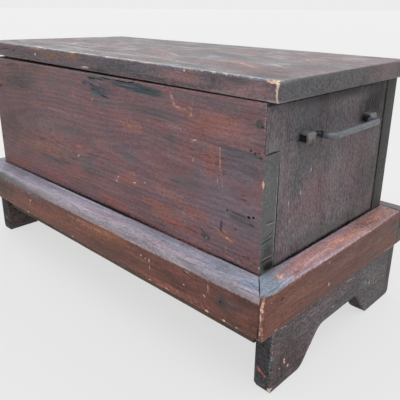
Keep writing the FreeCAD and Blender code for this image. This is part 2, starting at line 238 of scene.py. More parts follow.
def new_finish(name):
    """A new material with its node tree, its shader's sockets and the point on the piece."""
    finish = bpy.data.materials.new(name)
    finish.use_nodes = True
    tree = finish.node_tree
    return finish, tree, tree.nodes["Principled BSDF"].inputs, put(tree, "TexCoord", {}).outputs["Object"]


def grain_effect():
    """Pine grain along X: broad bands, streaks, fine fibres, and the arched figure round a heart."""
    tree, given, out = effect(
        "pine_grain",
        {"Point": "Vector", "Heart": "Vector"},
        {"Broad": "Float", "Streak": "Float", "Fibre": "Float", "Figure": "Float", "Blotch": "Float",
         "Speck": "Float", "Check": "Float"},
    )
    point = given["Point"]
    drift = put(tree, "TexNoise", {"Vector": point, "Scale": 5.0, "Detail": 2.0})
    sway = vector_sum(tree, "SUBTRACT", drift.outputs["Color"], (0.5, 0.5, 0.5))
    sway = vector_sum(tree, "MULTIPLY", sway, (0.0, 0.03, 0.03))
    bent = vector_sum(tree, "ADD", point, sway)
    for socket, stretch, detail in (
        ("Broad", (2.6, 17, 17), 4.0),
        ("Streak", (9, 120, 120), 5.0),
        ("Fibre", (40, 700, 700), 3.0),
        ("Blotch", (22, 30, 30), 6.0),
        ("Speck", (190, 330, 330), 3.0),
    ):
        stretched = vector_sum(tree, "MULTIPLY", bent, stretch)
        sockets = {"Vector": stretched, "Scale": 1.0, "Detail": detail, "Roughness": 0.62}
        noise = put(tree, "TexNoise", sockets)
        tree.links.new(noise.outputs[0], out[socket])
    drawn = put(tree, "TexNoise", {"Vector": vector_sum(tree, "MULTIPLY", bent, (6, 260, 260)), "Scale": 1.0})
    from_line = put(tree, "Math", {0: reckon(tree, "SUBTRACT", drawn.outputs[0], 0.5)}, operation="ABSOLUTE")
    line_width = 0.022
    tree.links.new(ramp(tree, from_line.outputs[0], 0.0, line_width, 1.0, 0.0), out["Check"])
    from_heart = vector_sum(tree, "SUBTRACT", bent, given["Heart"])
    drawn_out = vector_sum(tree, "MULTIPLY", from_heart, (0.09, 1, 1))
    rings = put(
        tree, "TexWave",
        {"Vector": drawn_out, "Scale": 42.0, "Distortion": 1.6, "Detail": 2.0, "Detail Scale": 2.0},
        wave_type="RINGS", rings_direction="SPHERICAL",
    )
    tree.links.new(rings.outputs["Fac"], out["Figure"])
    return tree


def mark_effect():
    """A stain, scuff or scratch: an oval in space with a soft edge that the grain makes ragged.

    Outer Size is mark_spread times the mark's half size, which leaves room outside it for that edge.
    """
    tree, given, out = effect(
        "mark",
        {"Point": "Vector", "Place": "Vector", "Turn": "Vector", "Outer Size": "Vector",
         "Grain": "Float", "Ragged": "Float", "Soft": "Float"},
        {"Mask": "Float"},
    )
    oval = put(
        tree, "Mapping",
        {"Vector": given["Point"], "Location": given["Place"], "Rotation": given["Turn"],
         "Scale": given["Outer Size"]},
        vector_type="TEXTURE",
    )
    falling = put(tree, "TexGradient", {"Vector": oval.outputs[0]}, gradient_type="SPHERICAL").outputs["Fac"]
    inward = reckon(tree, "ADD", reckon(tree, "MULTIPLY", falling, mark_spread), 1 - mark_spread)
    ragged = reckon(tree, "MULTIPLY", reckon(tree, "SUBTRACT", given["Grain"], 0.5), given["Ragged"])
    tree.links.new(ramp(tree, reckon(tree, "ADD", inward, ragged), 0.0, given["Soft"]), out["Mask"])
    return tree


def arris_effect():
    """How near a point of a square board is to one of its arrises, from 1 on it to 0 a width away."""
    tree, given, out = effect(
        "arris",
        {"Point": "Vector", "Middle": "Vector", "Half Size": "Vector", "Width": "Float", "Grain": "Float"},
        {"Mask": "Float"},
    )
    proud = outside_box(tree, given["Point"], given["Middle"], given["Half Size"])
    larger = reckon(tree, "MAXIMUM", proud[0], proud[1])
    smaller = reckon(tree, "MINIMUM", proud[0], proud[1])
    second = reckon(tree, "MAXIMUM", smaller, reckon(tree, "MINIMUM", larger, proud[2]))
    breaking_up = 4.0
    ragged = reckon(tree, "MULTIPLY", reckon(tree, "SUBTRACT", given["Grain"], 0.5), breaking_up)
    near = reckon(tree, "ADD", reckon(tree, "DIVIDE", second, given["Width"]), ragged)
    tree.links.new(ramp(tree, near, -1.0, 0.0), out["Mask"])
    return tree


mark_spread = 3
pine_grain = grain_effect()
mark = mark_effect()
arris = arris_effect()
turn_of_grain = {"X": (0, 0, 0), "Y": (0, 0, -math.pi / 2), "Z": (0, math.pi / 2, 0)}
dark_span = (0.34, 0.62)
warm_span = (0.44, 0.62)
haze_span = (0.46, 0.66)
check_span = (0.5, 0.6)
pine_span = (0.3, 0.7)
gloss_span = (0.7, 1.3)
bare_edge = (0.0012, 0.0004)
figure_relief = 6
streak_relief = 0.8
speckled_edge = 15
bare_pine = (0.32, 0.191, 0.103)
shaded_pine = (0.22, 0.129, 0.075)
white_fleck = (0.55, 0.50, 0.50)
# Near black for knots, nail holes, splits and open joints, and also for painted shade in creases and under
# the lid.
soot_and_shade = (0.004, 0.004, 0.004)


def old_paint(name, grain, heart, coats, shares, marks=(), bare=None, wear=None, sheen=(0.42, 0.62),
              speckle=0.5, relief=0.6, figure=0.06, stripes=1.0):
    """Old paint worn thin over pine: its colours follow the grain, with marks laid on where they are.

    coats are the ground colour and the dark, warm and hazy ones, and shares how much of the last three
    shows. A mark is what spot gives; one whose middle half size is small has a speckled edge, and a wide
    one an edge that follows the grain. bare is a box inside which the wood was never painted. wear is the
    board's box, the width of its rubbed arrises, their colour and how much of it shows. figure is how
    strongly the rings show, and stripes how far the colour runs with the grain, from 0 to 1.
    """
    finish, tree, shader, point = new_finish(name)
    shader["Specular IOR Level"].default_value = 0.12
    along = put(tree, "Mapping", {"Vector": point, "Rotation": turn_of_grain[grain]}).outputs[0]
    wood = put(tree, "Group", {"Point": along, "Heart": heart}, node_tree=pine_grain).outputs
    ground, dark, warm, haze = coats
    dark_share, warm_share, haze_share = shares

    drawn = put(tree, "Mix", {0: stripes, 2: wood["Blotch"], 3: wood["Streak"]}).outputs[0]
    colour = lay(tree, ramp(tree, drawn, *dark_span, dark_share, 0.0), ground, dark)
    colour = lay(tree, ramp(tree, wood["Broad"], *warm_span, 0.0, warm_share), colour, warm)
    colour = lay(tree, ramp(tree, wood["Blotch"], *haze_span, 0.0, haze_share), colour, haze)
    height = reckon(tree, "MULTIPLY", wood["Fibre"], stripes)
    height = reckon(tree, "ADD", height, reckon(tree, "MULTIPLY", wood["Figure"], figure_relief * figure))
    height = reckon(tree, "ADD", height, reckon(tree, "MULTIPLY", wood["Streak"], streak_relief * stripes))
    height = reckon(tree, "ADD", height, reckon(tree, "MULTIPLY", wood["Speck"], speckle))
    opened = reckon(tree, "MULTIPLY", wood["Check"], ramp(tree, wood["Broad"], *check_span))
    height = reckon(tree, "SUBTRACT", height, opened)
    patchy = reckon(tree, "MULTIPLY", reckon(tree, "ADD", wood["Streak"], wood["Blotch"]), 0.5)
    for place, half_size, turn, stain, strength, ragged, soft, dent in marks:
        edge_grain = wood["Speck"] if sorted(half_size)[1] < speckled_edge else patchy
        sockets = {
            "Point": point, "Place": [value * mm for value in place],
            "Outer Size": [value * mark_spread * mm for value in half_size],
            "Turn": [math.radians(value) for value in turn],
            "Grain": edge_grain, "Ragged": ragged, "Soft": soft,
        }
        mask = put(tree, "Group", sockets, node_tree=mark).outputs[0]
        colour = lay(tree, reckon(tree, "MULTIPLY", mask, strength), colour, stain)
        if dent:
            height = reckon(tree, "SUBTRACT", height, reckon(tree, "MULTIPLY", mask, dent))
    if wear:
        low, high, width, worn_colour, strength = wear
        sockets = {"Point": point, "Middle": (low + high) / 2, "Half Size": (high - low) / 2,
                   "Width": width, "Grain": wood["Speck"]}
        rubbed = put(tree, "Group", sockets, node_tree=arris).outputs[0]
        colour = lay(tree, reckon(tree, "MULTIPLY", rubbed, strength), colour, worn_colour)
    for grain_part, start, end, least, most in (
        (wood["Fibre"], 0.3, 0.7, 1 - 0.16 * stripes, 1 + 0.15 * stripes),
        (wood["Figure"], 0.1, 0.9, 1 - figure, 1 + figure),
        (wood["Streak"], 0.35, 0.65, 1 - 0.12 * stripes, 1 + 0.12 * stripes),
        (wood["Speck"], 0.32, 0.68, 1 - 0.5 * speckle, 1 + 0.55 * speckle),
        (opened, 0.0, 1.0, 1.0, 0.45),
    ):
        share = ramp(tree, grain_part, start, end, least, most)
        colour = put(tree, "VectorMath", {0: colour, "Scale": share}, operation="SCALE").outputs[0]
    if bare:
        low, high = bare
        proud = outside_box(tree, point, (low + high) / 2, (high - low) / 2)
        furthest = reckon(tree, "MAXIMUM", reckon(tree, "MAXIMUM", proud[0], proud[1]), proud[2])
        inside = ramp(tree, furthest, *bare_edge)
        wood_colour = lay(tree, ramp(tree, wood["Streak"], *pine_span), shaded_pine, bare_pine)
        colour = lay(tree, inside, colour, wood_colour)
    tree.links.new(colour, shader["Base Color"])
    gloss = reckon(tree, "ADD", wood["Streak"], wood["Blotch"])
    tree.links.new(ramp(tree, gloss, *gloss_span, *sheen), shader["Roughness"])
    bump = put(tree, "Bump", {"Strength": relief, "Distance": 0.0008, "Height": height})
    tree.links.new(bump.outputs[0], shader["Normal"])
    return finish


def fit(piece, body, slot, finish, *nodes):
    """Gives a finished piece its material and its place in the chest."""
    piece.data.materials.clear()
    piece.data.materials.append(finish)
    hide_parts(*nodes)
    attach(piece, body)


def coat(finish, *nodes):
    """Gives metal and wood that keep their drawn shape their finish."""
    for name in nodes:
        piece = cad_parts[name]
        piece.data.materials.clear()
        piece.data.materials.append(finish)


interior_low = Vector((-half_length + end_thickness, front_face + front_thickness, floor_top))
interior_high = Vector((half_length - end_thickness, back_face - back_thickness, rim_height - rim_margin))
interior = (interior_low, interior_high)
slate = (0.075, 0.075, 0.082)
dusty_plum = (0.140, 0.114, 0.123)
faded_rose = (0.171, 0.110, 0.119)
ash = (0.176, 0.166, 0.171)
moss = (0.088, 0.093, 0.086)
end_face = 380


def spot(place, half_size, stain, strength, ragged, soft, dent=0, turn=(0, 0, 0)):
    """A mark on a board, its place and half size in millimetres and its turn in degrees."""
    return place, half_size, turn, stain, strength, ragged, soft, dent


def on_end(side, y, z, half_depth, half_height, stain, strength, ragged, soft, dent=0, turn=0, reach=6):
    """A mark on an end of the case, which reaches so many millimetres into the wood."""
    place = (end_face * side, y, z)
    return spot(place, (reach, half_depth, half_height), stain, strength, ragged, soft, dent, (turn, 0, 0))


end_marks = [
    (-60, 385, 130, 60, slate, 0.7, 2.5, 0.8),
    # Painted shadow of the lid, darkening the top rear of the end board.
    (120, 390, 80, 70, (0.024, 0.024, 0.023), 0.9, 1.6, 0.8),
    (80, 320, 70, 40, (0.095, 0.082, 0.084), 0.6, 2.0, 0.9),
    # Painted shadow of the lid along the top of the end board.
    (0, 415, 200, 14, (0.04, 0.039, 0.041), 0.8, 1.0, 0.9),
    (-60, 265, 95, 50, faded_rose, 0.7, 2.5, 0.8),
    (70, 300, 60, 60, faded_rose, 0.5, 2.5, 0.8),
    (150, 270, 16, 90, moss, 0.6, 2.5, 0.8),
    (-40, 330, 60, 20, moss, 0.5, 3.0, 0.8),
    # Painted shade: a grey-green band and a black line along the foot of the end board, where it meets the
    # ledge.
    (20, 196, 190, 20, (0.108, 0.110, 0.108), 0.75, 2.5, 0.8),
    (0, 180, 330, 6, soot_and_shade, 1.0, 3.0, 0.6),
    (112, 258, 70, 66, (0.064, 0.056, 0.058), 0.6, 2.5, 0.8),
    # Painted shadow of the lid along the top of the end board.
    (90, 414, 110, 16, (0.036, 0.034, 0.036), 0.7, 1.6, 0.8),
    (75, 405, 60, 16, (0.129, 0.131, 0.136), 0.35, 3.0, 0.8),
    (-100, 300, 26, 60, (0.095, 0.095, 0.099), 0.5, 2.5, 0.8),
    (-88, 280, 1.8, 6, white_fleck, 0.6, 0.3, 0.5),
    (-118, 271, 1.4, 5, white_fleck, 0.5, 0.3, 0.5),
    (-112, 242, 2, 3, white_fleck, 0.45, 0.3, 0.5),
    (-65, 310, 2, 4, white_fleck, 0.45, 0.3, 0.5),
    (155, 300, 3.4, 420, soot_and_shade, 1.0, 1.6, 0.4, 1, 0, 4),
    # Painted shadow: a black line under the lid.
    (0, 420.5, 420, 5, soot_and_shade, 0.95, 1.6, 0.6),
    (-146, 267, 1.2, 87, soot_and_shade, 0.85, 0.5, 0.3, 1, 0, 3),
    (-163, 355, 17, 1.2, soot_and_shade, 0.85, 0.5, 0.3, 1, 0, 3),
]
for side, name in ((1, "right_end_board"), (-1, "left_end_board")):
    low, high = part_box(name)
    front_joint = Vector((low.x, front_face + front_thickness, low.z))
    board = sawn_board(name + "_worn", front_joint, high - Vector((0, rear_gap, 0)))
    cut = Vector((0, 0, seam_height))
    edit(board)
    bpy.ops.mesh.select_all(action="SELECT")
    bpy.ops.mesh.bisect(plane_co=cut, plane_no=(0, 0, 1))
    choose(board, "FACE", lambda face: face.calc_center_median().z > seam_height and face.normal.y < -0.9)
    bpy.ops.mesh.extrude_region_move(TRANSFORM_OT_translate={"value": (0, -front_thickness, 0)})
    leave()
    mitre = Vector((side * half_length, front_face, 0))
    cut_off(board, mitre, (-side * front_thickness, -end_thickness, 0))
    cut_off(board, mitre + Vector((-side, 1, 0)) * corner_cut, (side, -1, 0))
    ease_arrises(board, width=0.7 * mm)
    divide(board, cell=6 * mm)
    rub_down(board, hollow=0.3 * mm, chip=0.5 * mm)
    marks = [on_end(side, *row) for row in end_marks]
    for vein in range(7):
        marks.append(on_end(
            side, 92 + 7 * vein, 392 - 3 * vein, 1.2, 26, soot_and_shade, 0.7, 1.6, 0.7, 1, -30 + 9 * vein, 3))
    grey_paint = old_paint(
        name + "_paint", grain="Z", heart=(0.47, 0.08, -0.41 * side),
        coats=(dusty_plum, slate, faded_rose, ash), shares=(0.7, 0.4, 0.5), marks=marks, bare=interior,
        wear=(*case_box, 1.6 * mm, ash, 0.4),
        sheen=(0.5, 0.72), speckle=0.65, relief=0.9, figure=0.03, stripes=0.35,
    )
    fit(board, "case", "end_paint", grey_paint, name)

# ---------------------------------------------------------------- front boards
# The front is a broad board, lapped over the end boards, with a narrow one above it mitred into them.
# Both are 34 mm pine with the grain along the chest, in oxblood paint worn to red, plum and grey.
# A dark burn spreads from under the lid, and a long split opens along the top edge.
oxblood = (0.169, 0.095, 0.105)
deep_plum = (0.119, 0.077, 0.086)
ember = (0.26, 0.103, 0.086)
smoke = (0.117, 0.101, 0.110)
burn = (0.047, 0.061, 0.075)
rust_red = (0.29, 0.092, 0.069)
rust_brown = (0.24, 0.117, 0.086)
peach = (0.70, 0.39, 0.24)
tan = (0.43, 0.24, 0.145)
blue_grey = (0.106, 0.106, 0.127)
lead = (0.075, 0.077, 0.082)
old_pink = (0.26, 0.145, 0.145)
navy = (0.031, 0.035, 0.052)
case_front = -180


def on_front(x, z, half_width, half_height, turn, stain, strength, ragged, soft, dent=0):
    """A mark on the front of the case, x from the middle and z from the ground, in millimetres."""
    half_size = (half_width, 12, half_height)
    return spot((x, case_front, z), half_size, stain, strength, ragged, soft, dent, (0, turn, 0))


def on_corner(z, reach, half_height, stain, strength, ragged, soft):
    """A mark down the right front corner of the case, in millimetres."""
    return spot((end_face, case_front, z), (reach, reach, half_height), stain, strength, ragged, soft)


def knot(x, z, radius, turn=0):
    """The rows of a knot on the front of the case: its dark and light rings, from the outside in."""
    return [
        (x, z, radius * share, 0.7 * radius * share, turn, stain, strength, 2.2, 0.7, dent)
        for share, stain, strength, dent in (
            (1.0, soot_and_shade, 0.5, 0), (0.85, lead, 0.8, 0), (0.6, soot_and_shade, 0.5, 1), (0.48, ash, 0.5, 0),
            (0.2, soot_and_shade, 0.6, 1))
    ]


front_marks = [on_front(*row) for row in (
    (-337, 275, 60, 66, 0, (0.062, 0.044, 0.048), 0.45, 3.0, 0.9),
    (-295, 236, 34, 18, 0, rust_brown, 0.5, 2.6, 0.9),
    (-125, 292, 60, 16, 1, ember, 0.45, 2.6, 0.9),
    (17, 300, 22, 30, 0, ember, 0.4, 2.6, 0.9),
    (90, 245, 46, 20, 3, rust_red, 0.6, 2.6, 0.9),
    (196, 253, 48, 14, 2, rust_brown, 0.6, 2.6, 0.9),
    (186, 214, 68, 20, 3, rust_brown, 0.55, 2.6, 0.9),
    (42, 197, 64, 16, 3, rust_red, 0.5, 2.6, 0.9),
    (-22, 238, 66, 26, 0, (0.058, 0.052, 0.056), 0.6, 3.0, 0.9),
    (26, 397, 62, 15, 0, (0.050, 0.064, 0.086), 0.75, 2.6, 0.9),
    (-300, 270, 170, 110, 0, (0.103, 0.073, 0.075), 0.35, 3.0, 0.9),
    (300, 250, 120, 100, 0, (0.150, 0.122, 0.150), 0.6, 3.0, 0.9),
    (20, 225, 110, 22, 2, (0.22, 0.108, 0.103), 0.45, 3.0, 0.9),
    (-260, 385, 120, 42, 0, lead, 0.66, 3.0, 0.9),
    (-150, 305, 190, 26, 1, smoke, 0.62, 3.0, 0.9),
    (-210, 252, 128, 18, 0, rust_brown, 0.62, 3.0, 0.8),
    (-285, 194, 58, 9, 0, rust_red, 0.6, 2.4, 0.8),
    (-150, 198, 70, 14, 0, rust_red, 0.45, 2.6, 0.8),
    (-140, 236, 90, 7, -2, lead, 0.75, 2.4, 0.7),
    (-26, 255, 75, 24, 0, smoke, 0.6, 3.0, 0.9),
    (-200, 340, 50, 4, 1, ember, 0.75, 2.0, 0.7),
    (-125, 340, 90, 3, 2, old_pink, 0.55, 2.0, 0.6),
    (-46, 316, 66, 20, 0, deep_plum, 0.4, 3.0, 0.9),
    (109, 347, 34, 13, 0, rust_brown, 0.75, 2.6, 0.8),
    (150, 377, 90, 9, 1, lead, 0.7, 2.6, 0.8),
    (212, 365, 36, 3.5, 2, old_pink, 0.7, 1.6, 0.6),
    (90, 306, 60, 9, 1, blue_grey, 0.5, 3.0, 0.9),
    (112, 290, 54, 10, -1, blue_grey, 0.5, 3.0, 0.9),
    (202, 343, 13, 14, 0, lead, 0.6, 2.0, 0.8),
    (160, 310, 50, 40, 0, oxblood, 0.6, 3.0, 0.9),
    (237, 282, 55, 12, 0, lead, 0.6, 2.6, 0.8),
    (105, 265, 12, 4.5, 0, rust_brown, 0.8, 1.5, 0.7),
    (95, 238, 60, 12, -2, lead, 0.55, 3.0, 0.8),
    (160, 226, 50, 9, 2, rust_red, 0.6, 2.6, 0.9),
    (215, 205, 60, 14, 2, rust_red, 0.5, 3.0, 0.9),
    (235, 228, 30, 5, 4, (0.32, 0.150, 0.108), 0.5, 2.4, 0.9),
    (255, 238, 40, 14, 0, ember, 0.6, 2.6, 0.9),
    (298, 380, 70, 22, 0, ember, 0.65, 2.6, 0.9),
    (322, 372, 54, 17, 0, old_pink, 0.35, 2.6, 0.9),
    (270, 412, 110, 8, 0, smoke, 0.7, 2.6, 0.8),
    (281, 322, 20, 28, 0, ember, 0.35, 2.6, 0.8),
    (289, 332, 8, 22, 0, (0.30, 0.129, 0.092), 0.4, 2.4, 0.8),
    (338, 297, 40, 14, 0, deep_plum, 0.5, 2.6, 0.8),
    (362, 236, 36, 22, 0, smoke, 0.55, 2.6, 0.8),
    (348, 212, 40, 14, 0, deep_plum, 0.5, 2.6, 0.8),
    (-310, 300, 180, 170, 0, (0.080, 0.050, 0.052), 0.38, 1.0, 0.9),
    (240, 194, 150, 9, 0, (0.175, 0.130, 0.150), 0.5, 2.4, 0.8),
    (262, 305, 24, 16, 0, blue_grey, 0.45, 2.6, 0.9),
    (-182, 418, 48, 14, 0, lead, 0.5, 2.4, 0.8),
    (-300, 385, 130, 50, 0, (0.060, 0.050, 0.052), 0.3, 2.0, 0.9),
    (20, 418, 70, 6, 1, (0.075, 0.088, 0.093), 0.85, 2.4, 0.8),
    (95, 413, 50, 6, 1, burn, 0.9, 1.6, 0.4),
    (132, 411, 58, 8.5, 1, burn, 1.0, 1.4, 0.3, 0.5),
    (160, 409, 22, 8, 2, (0.059, 0.071, 0.071), 0.9, 1.4, 0.4, 0.5),
    (100, 413, 40, 1.2, 1, (0.113, 0.145, 0.160), 0.7, 1.2, 0.6),
    (130, 404, 44, 1.2, 1, (0.113, 0.145, 0.160), 0.6, 1.2, 0.6),
    (-8, 410, 26, 6, -12, burn, 0.7, 2.0, 0.6),
    (12, 396, 20, 11, 25, burn, 0.8, 2.0, 0.5, 0.5),
    (12, 388, 9, 7, 20, (0.070, 0.092, 0.115), 0.85, 1.4, 0.5),
    (36, 378, 22, 13, 0, (0.086, 0.097, 0.106), 0.75, 2.6, 0.7),
    (-12, 411, 13, 1.2, 16, (0.129, 0.150, 0.22), 0.8, 0.8, 0.5),
    (4, 407, 12, 1.2, 20, (0.129, 0.150, 0.22), 0.8, 0.8, 0.5),
    (18, 405, 11, 1.4, 18, (0.140, 0.171, 0.26), 0.8, 0.8, 0.5),
    (26, 411, 12, 1.2, 12, (0.129, 0.150, 0.22), 0.6, 0.8, 0.5),
    *knot(27, 396, 15, 20),
    (2, 415, 15, 1.6, 0, soot_and_shade, 0.9, 0.8, 0.4, 1),
    (-22, 404, 8, 1.8, 6, navy, 0.95, 0.8, 0.4, 1),
    (2, 403, 12, 2.0, 12, navy, 0.95, 0.8, 0.4, 1),
    (5, 396, 11, 2.0, 2, navy, 0.95, 0.8, 0.4, 1),
    (24, 415, 12, 1.4, 4, soot_and_shade, 0.8, 0.8, 0.4, 1),
    (38, 387, 14, 1.5, 8, soot_and_shade, 0.9, 0.8, 0.4, 1),
    (44, 418, 22, 1.3, 1, soot_and_shade, 0.85, 0.6, 0.4, 1),
    (84, 418, 26, 1.4, 1, soot_and_shade, 0.95, 0.5, 0.4, 1),
    (109, 418.5, 8, 1.6, -4, soot_and_shade, 0.95, 0.5, 0.4, 1),
    (116, 421, 4, 1.6, -50, soot_and_shade, 1.0, 0.4, 0.4, 1),
    (0, 378, 3, 1.6, 0, white_fleck, 0.4, 0.6, 0.6),
    (10, 371, 12, 7, 0, lead, 0.6, 2.5, 0.6),
    (202, 412, 4.5, 10, -25, rust_brown, 0.75, 1.2, 0.8),
    (205, 408, 4.4, 8.5, -22, (0.45, 0.27, 0.20), 0.65, 0.8, 0.9),
    (210, 399, 4.0, 8, -20, (0.45, 0.27, 0.20), 0.6, 0.8, 0.9),
    (222, 394, 20, 6, 8, rust_brown, 0.6, 1.5, 0.9),
    (219, 395, 11, 3.2, 10, (0.45, 0.27, 0.20), 0.6, 0.8, 0.9),
    (232, 395, 7, 2.4, 0, tan, 0.5, 0.8, 0.9),
    (246, 390, 7, 10, 0, rust_brown, 0.6, 1.5, 0.9),
    (245, 397, 7, 2.6, 3, tan, 0.7, 0.8, 0.9),
    (246, 387, 4, 6, 0, tan, 0.6, 1.0, 0.9),
    (249, 406, 0.8, 9, 0, old_pink, 0.6, 0.6, 0.7),
    (254, 352, 5.5, 1.5, -14, peach, 0.65, 0.8, 0.7),
    (248, 349, 1.4, 3.5, 0, peach, 0.5, 0.8, 0.7),
    (250, 322, 0.9, 5, 14, white_fleck, 0.6, 0.4, 0.6),
    (270, 305, 7, 1.4, 30, old_pink, 0.8, 0.6, 0.7),
    (-61, 378, 2.2, 9, -16, old_pink, 0.8, 0.8, 0.7),
    (-54, 380, 1.4, 7, 0, old_pink, 0.6, 0.8, 0.7),
    (117, 398, 1, 9, 0, old_pink, 0.6, 0.6, 0.7),
    (111, 399, 1, 8, 0, old_pink, 0.5, 0.6, 0.7),
    (303, 335, 1.1, 26, -2, (0.43, 0.29, 0.27), 0.7, 0.8, 0.6),
    (308, 302, 0.9, 20, -6, (0.36, 0.22, 0.191), 0.6, 0.8, 0.6),
    (299, 301, 0.8, 6, 0, white_fleck, 0.4, 0.5, 0.6),
    *knot(277, 206, 13, 20),
    (279, 205, 1.6, 1.6, 0, white_fleck, 0.6, 0.4, 0.5),
    (268, 215, 8, 1.2, 30, soot_and_shade, 0.6, 0.8, 0.5),
    (308, 234, 3.4, 14, 4, soot_and_shade, 0.65, 1.5, 0.7, 0.5),
    (319, 261, 3, 2.6, 0, soot_and_shade, 0.8, 0.8, 0.6, 1),
    (317, 254, 6, 4, 0, ash, 0.6, 1.4, 0.7),
    (338, 261, 20, 1.4, 2, soot_and_shade, 0.75, 1.4, 0.6, 1),
    (358, 262, 4, 2.8, 0, soot_and_shade, 1.0, 0.8, 0.5, 1),
    (366, 264, 3, 2.6, 0, soot_and_shade, 0.95, 0.8, 0.5, 1),
    (346, 254, 32, 10, 4, (0.066, 0.071, 0.082), 0.75, 2.4, 0.7, 0.5),
    (318, 255, 10, 5, 0, (0.124, 0.134, 0.150), 0.6, 2.0, 0.7),
    (362, 252, 8, 1.2, 14, soot_and_shade, 0.8, 0.8, 0.5, 1),
    (357, 254, 8, 1.0, 10, ash, 0.5, 0.8, 0.5),
    (335, 237, 4, 3, 0, soot_and_shade, 0.5, 1.2, 0.6),
    (313, 219, 24, 7, 10, rust_brown, 0.85, 1.6, 0.6),
    (322, 217, 12, 2.5, 12, peach, 0.35, 1.6, 0.7),
    (318, 198, 2.4, 11, 0, old_pink, 0.8, 1.2, 0.7),
    (308, 226, 10, 1.1, 24, soot_and_shade, 0.7, 0.8, 0.5, 1),
    (330, 188, 24, 3, 3, (0.35, 0.160, 0.150), 0.8, 1.4, 0.7),
    (270, 189, 34, 2, 2, old_pink, 0.6, 1.4, 0.7),
    *knot(361, 200, 6),
    (357, 357, 3.4, 2.2, -10, soot_and_shade, 0.9, 1.4, 0.6, 2),
    (364, 354, 2.6, 3.2, 0, soot_and_shade, 0.85, 1.4, 0.6, 2),
    (370, 356, 3.6, 1.4, 10, soot_and_shade, 0.8, 1.4, 0.6, 2),
    (373, 350, 4.4, 1.8, 0, soot_and_shade, 0.9, 1.4, 0.6, 2),
    (362, 350, 16, 6, 0, lead, 0.5, 2.4, 0.8),
    (369, 394, 7.5, 7, 0, (0.058, 0.064, 0.069), 0.85, 0.6, 0.3),
    (352, 397, 11, 3, 8, slate, 0.7, 1.4, 0.7),
    (374, 391, 3, 1.4, 20, soot_and_shade, 0.9, 0.4, 0.5, 1),
    (348, 285, 8, 1.0, -6, soot_and_shade, 0.5, 0.8, 0.6, 1),
    (347, 291, 7, 1.0, -6, soot_and_shade, 0.5, 0.8, 0.6, 1),
    (-355, 362, 12, 4, 0, soot_and_shade, 0.7, 1.0, 0.6),
    (-370, 243, 12, 4, 0, soot_and_shade, 0.7, 1.0, 0.6),
    (-154, 296, 7, 4, 0, soot_and_shade, 0.5, 1.2, 0.7),
    (-58, 262, 4.2, 1.4, 14, white_fleck, 0.9, 0.3, 0.4),
    (110, 250, 4.2, 1.6, -8, white_fleck, 0.8, 0.3, 0.4),
    (137, 257, 2.2, 1.2, 0, white_fleck, 0.6, 0.3, 0.4),
    (65, 250, 2.6, 2.0, 0, (0.61, 0.36, 0.34), 0.9, 0.3, 0.4),
    (59, 241, 2.6, 2.0, 0, (0.61, 0.36, 0.34), 0.8, 0.3, 0.4),
    (62, 244, 6, 9, 0, old_pink, 0.45, 1.4, 0.8),
    (0, 421.5, 380, 1.2, 0, ash, 0.55, 1.6, 0.6),
    # Painted shade: black lines along the foot of the front, where it meets the ledge of the rail.
    (-60, 180, 420, 6, 0, soot_and_shade, 0.95, 2.4, 0.8),
    (50, 181, 210, 8, 0, soot_and_shade, 0.7, 2.0, 0.8),
    (330, 180, 90, 3.6, 0, soot_and_shade, 0.95, 1.6, 0.8),
)]
marks_below_seam = [on_front(*row) for row in (
    (344, 338, 52, 34, 0, (0.104, 0.095, 0.110), 0.75, 1.2, 0.5),
    (336, 350, 40, 9, 1, lead, 0.5, 2.4, 0.7),
)]
for notch in range(8):
    front_marks.append(on_front(378, 388 + 4 * notch, 1.6, 0.9, 40, white_fleck, 0.35, 0.5, 0.6))
end_grain_marks = [on_end(*row, reach=2.5) for row in (
    (1, -158, 270, 27, 170, (0.103, 0.106, 0.106), 0.97, 0.5, 0.2),
    (-1, -158, 270, 27, 170, (0.103, 0.106, 0.106), 0.97, 0.5, 0.2),
    (1, -170, 320, 8, 40, (0.140, 0.145, 0.148), 0.5, 2.4, 0.7),
    (1, -163, 205, 17, 26, (0.058, 0.058, 0.057), 0.9, 1.6, 0.5),
    (1, -165, 229, 16, 1.1, soot_and_shade, 0.95, 0.6, 0.4, 1, 4),
    (1, -160, 256, 10, 1.0, soot_and_shade, 0.7, 0.6, 0.4, 1, -3),
    (1, -160, 253, 10, 0.8, white_fleck, 0.3, 0.6, 0.4, 0, -3),
    (1, -162, 236, 12, 1.0, soot_and_shade, 0.7, 0.6, 0.4, 1, 18),
    (1, -163, 202, 16, 0.9, white_fleck, 0.35, 0.6, 0.4, 0, -2),
    (1, -163, 199, 16, 1.2, soot_and_shade, 0.8, 0.6, 0.4, 1, -2),
    (1, -162, 192, 16, 1.0, soot_and_shade, 0.8, 0.6, 0.4, 1, 4),
    # Painted shade where the end grain meets the ledge.
    (1, -156, 186, 20, 7, soot_and_shade, 0.9, 1.2, 0.5, 1),
    (1, -146, 267, 1.2, 87, soot_and_shade, 0.85, 0.5, 0.3, 1),
    (1, -148.5, 262, 0.8, 80, white_fleck, 0.28, 2.4, 0.5),
)] + [on_corner(*row) for row in (
    (315, 3, 8, peach, 0.95, 1.0, 0.5),
    (318, 1.4, 30, (0.55, 0.43, 0.39), 0.8, 0.8, 0.6),
    (285, 1.3, 26, (0.50, 0.47, 0.47), 0.8, 0.8, 0.6),
    (240, 1.1, 40, (0.43, 0.37, 0.37), 0.7, 1.4, 0.6),
    (191, 2.0, 5, (0.70, 0.50, 0.43), 0.9, 0.6, 0.5),
    (205, 1.2, 16, (0.59, 0.46, 0.41), 0.7, 0.8, 0.6),
    (385, 1.0, 36, ash, 0.7, 1.6, 0.6),
)]


def at_front_seam(edge):
    """The seam between the two front boards, which are glued and painted over as one."""
    return all(
        abs(corner.co.z - seam_height) < 0.1 * mm and corner.co.y < front_face + 2 * mm
        for corner in edge.verts)


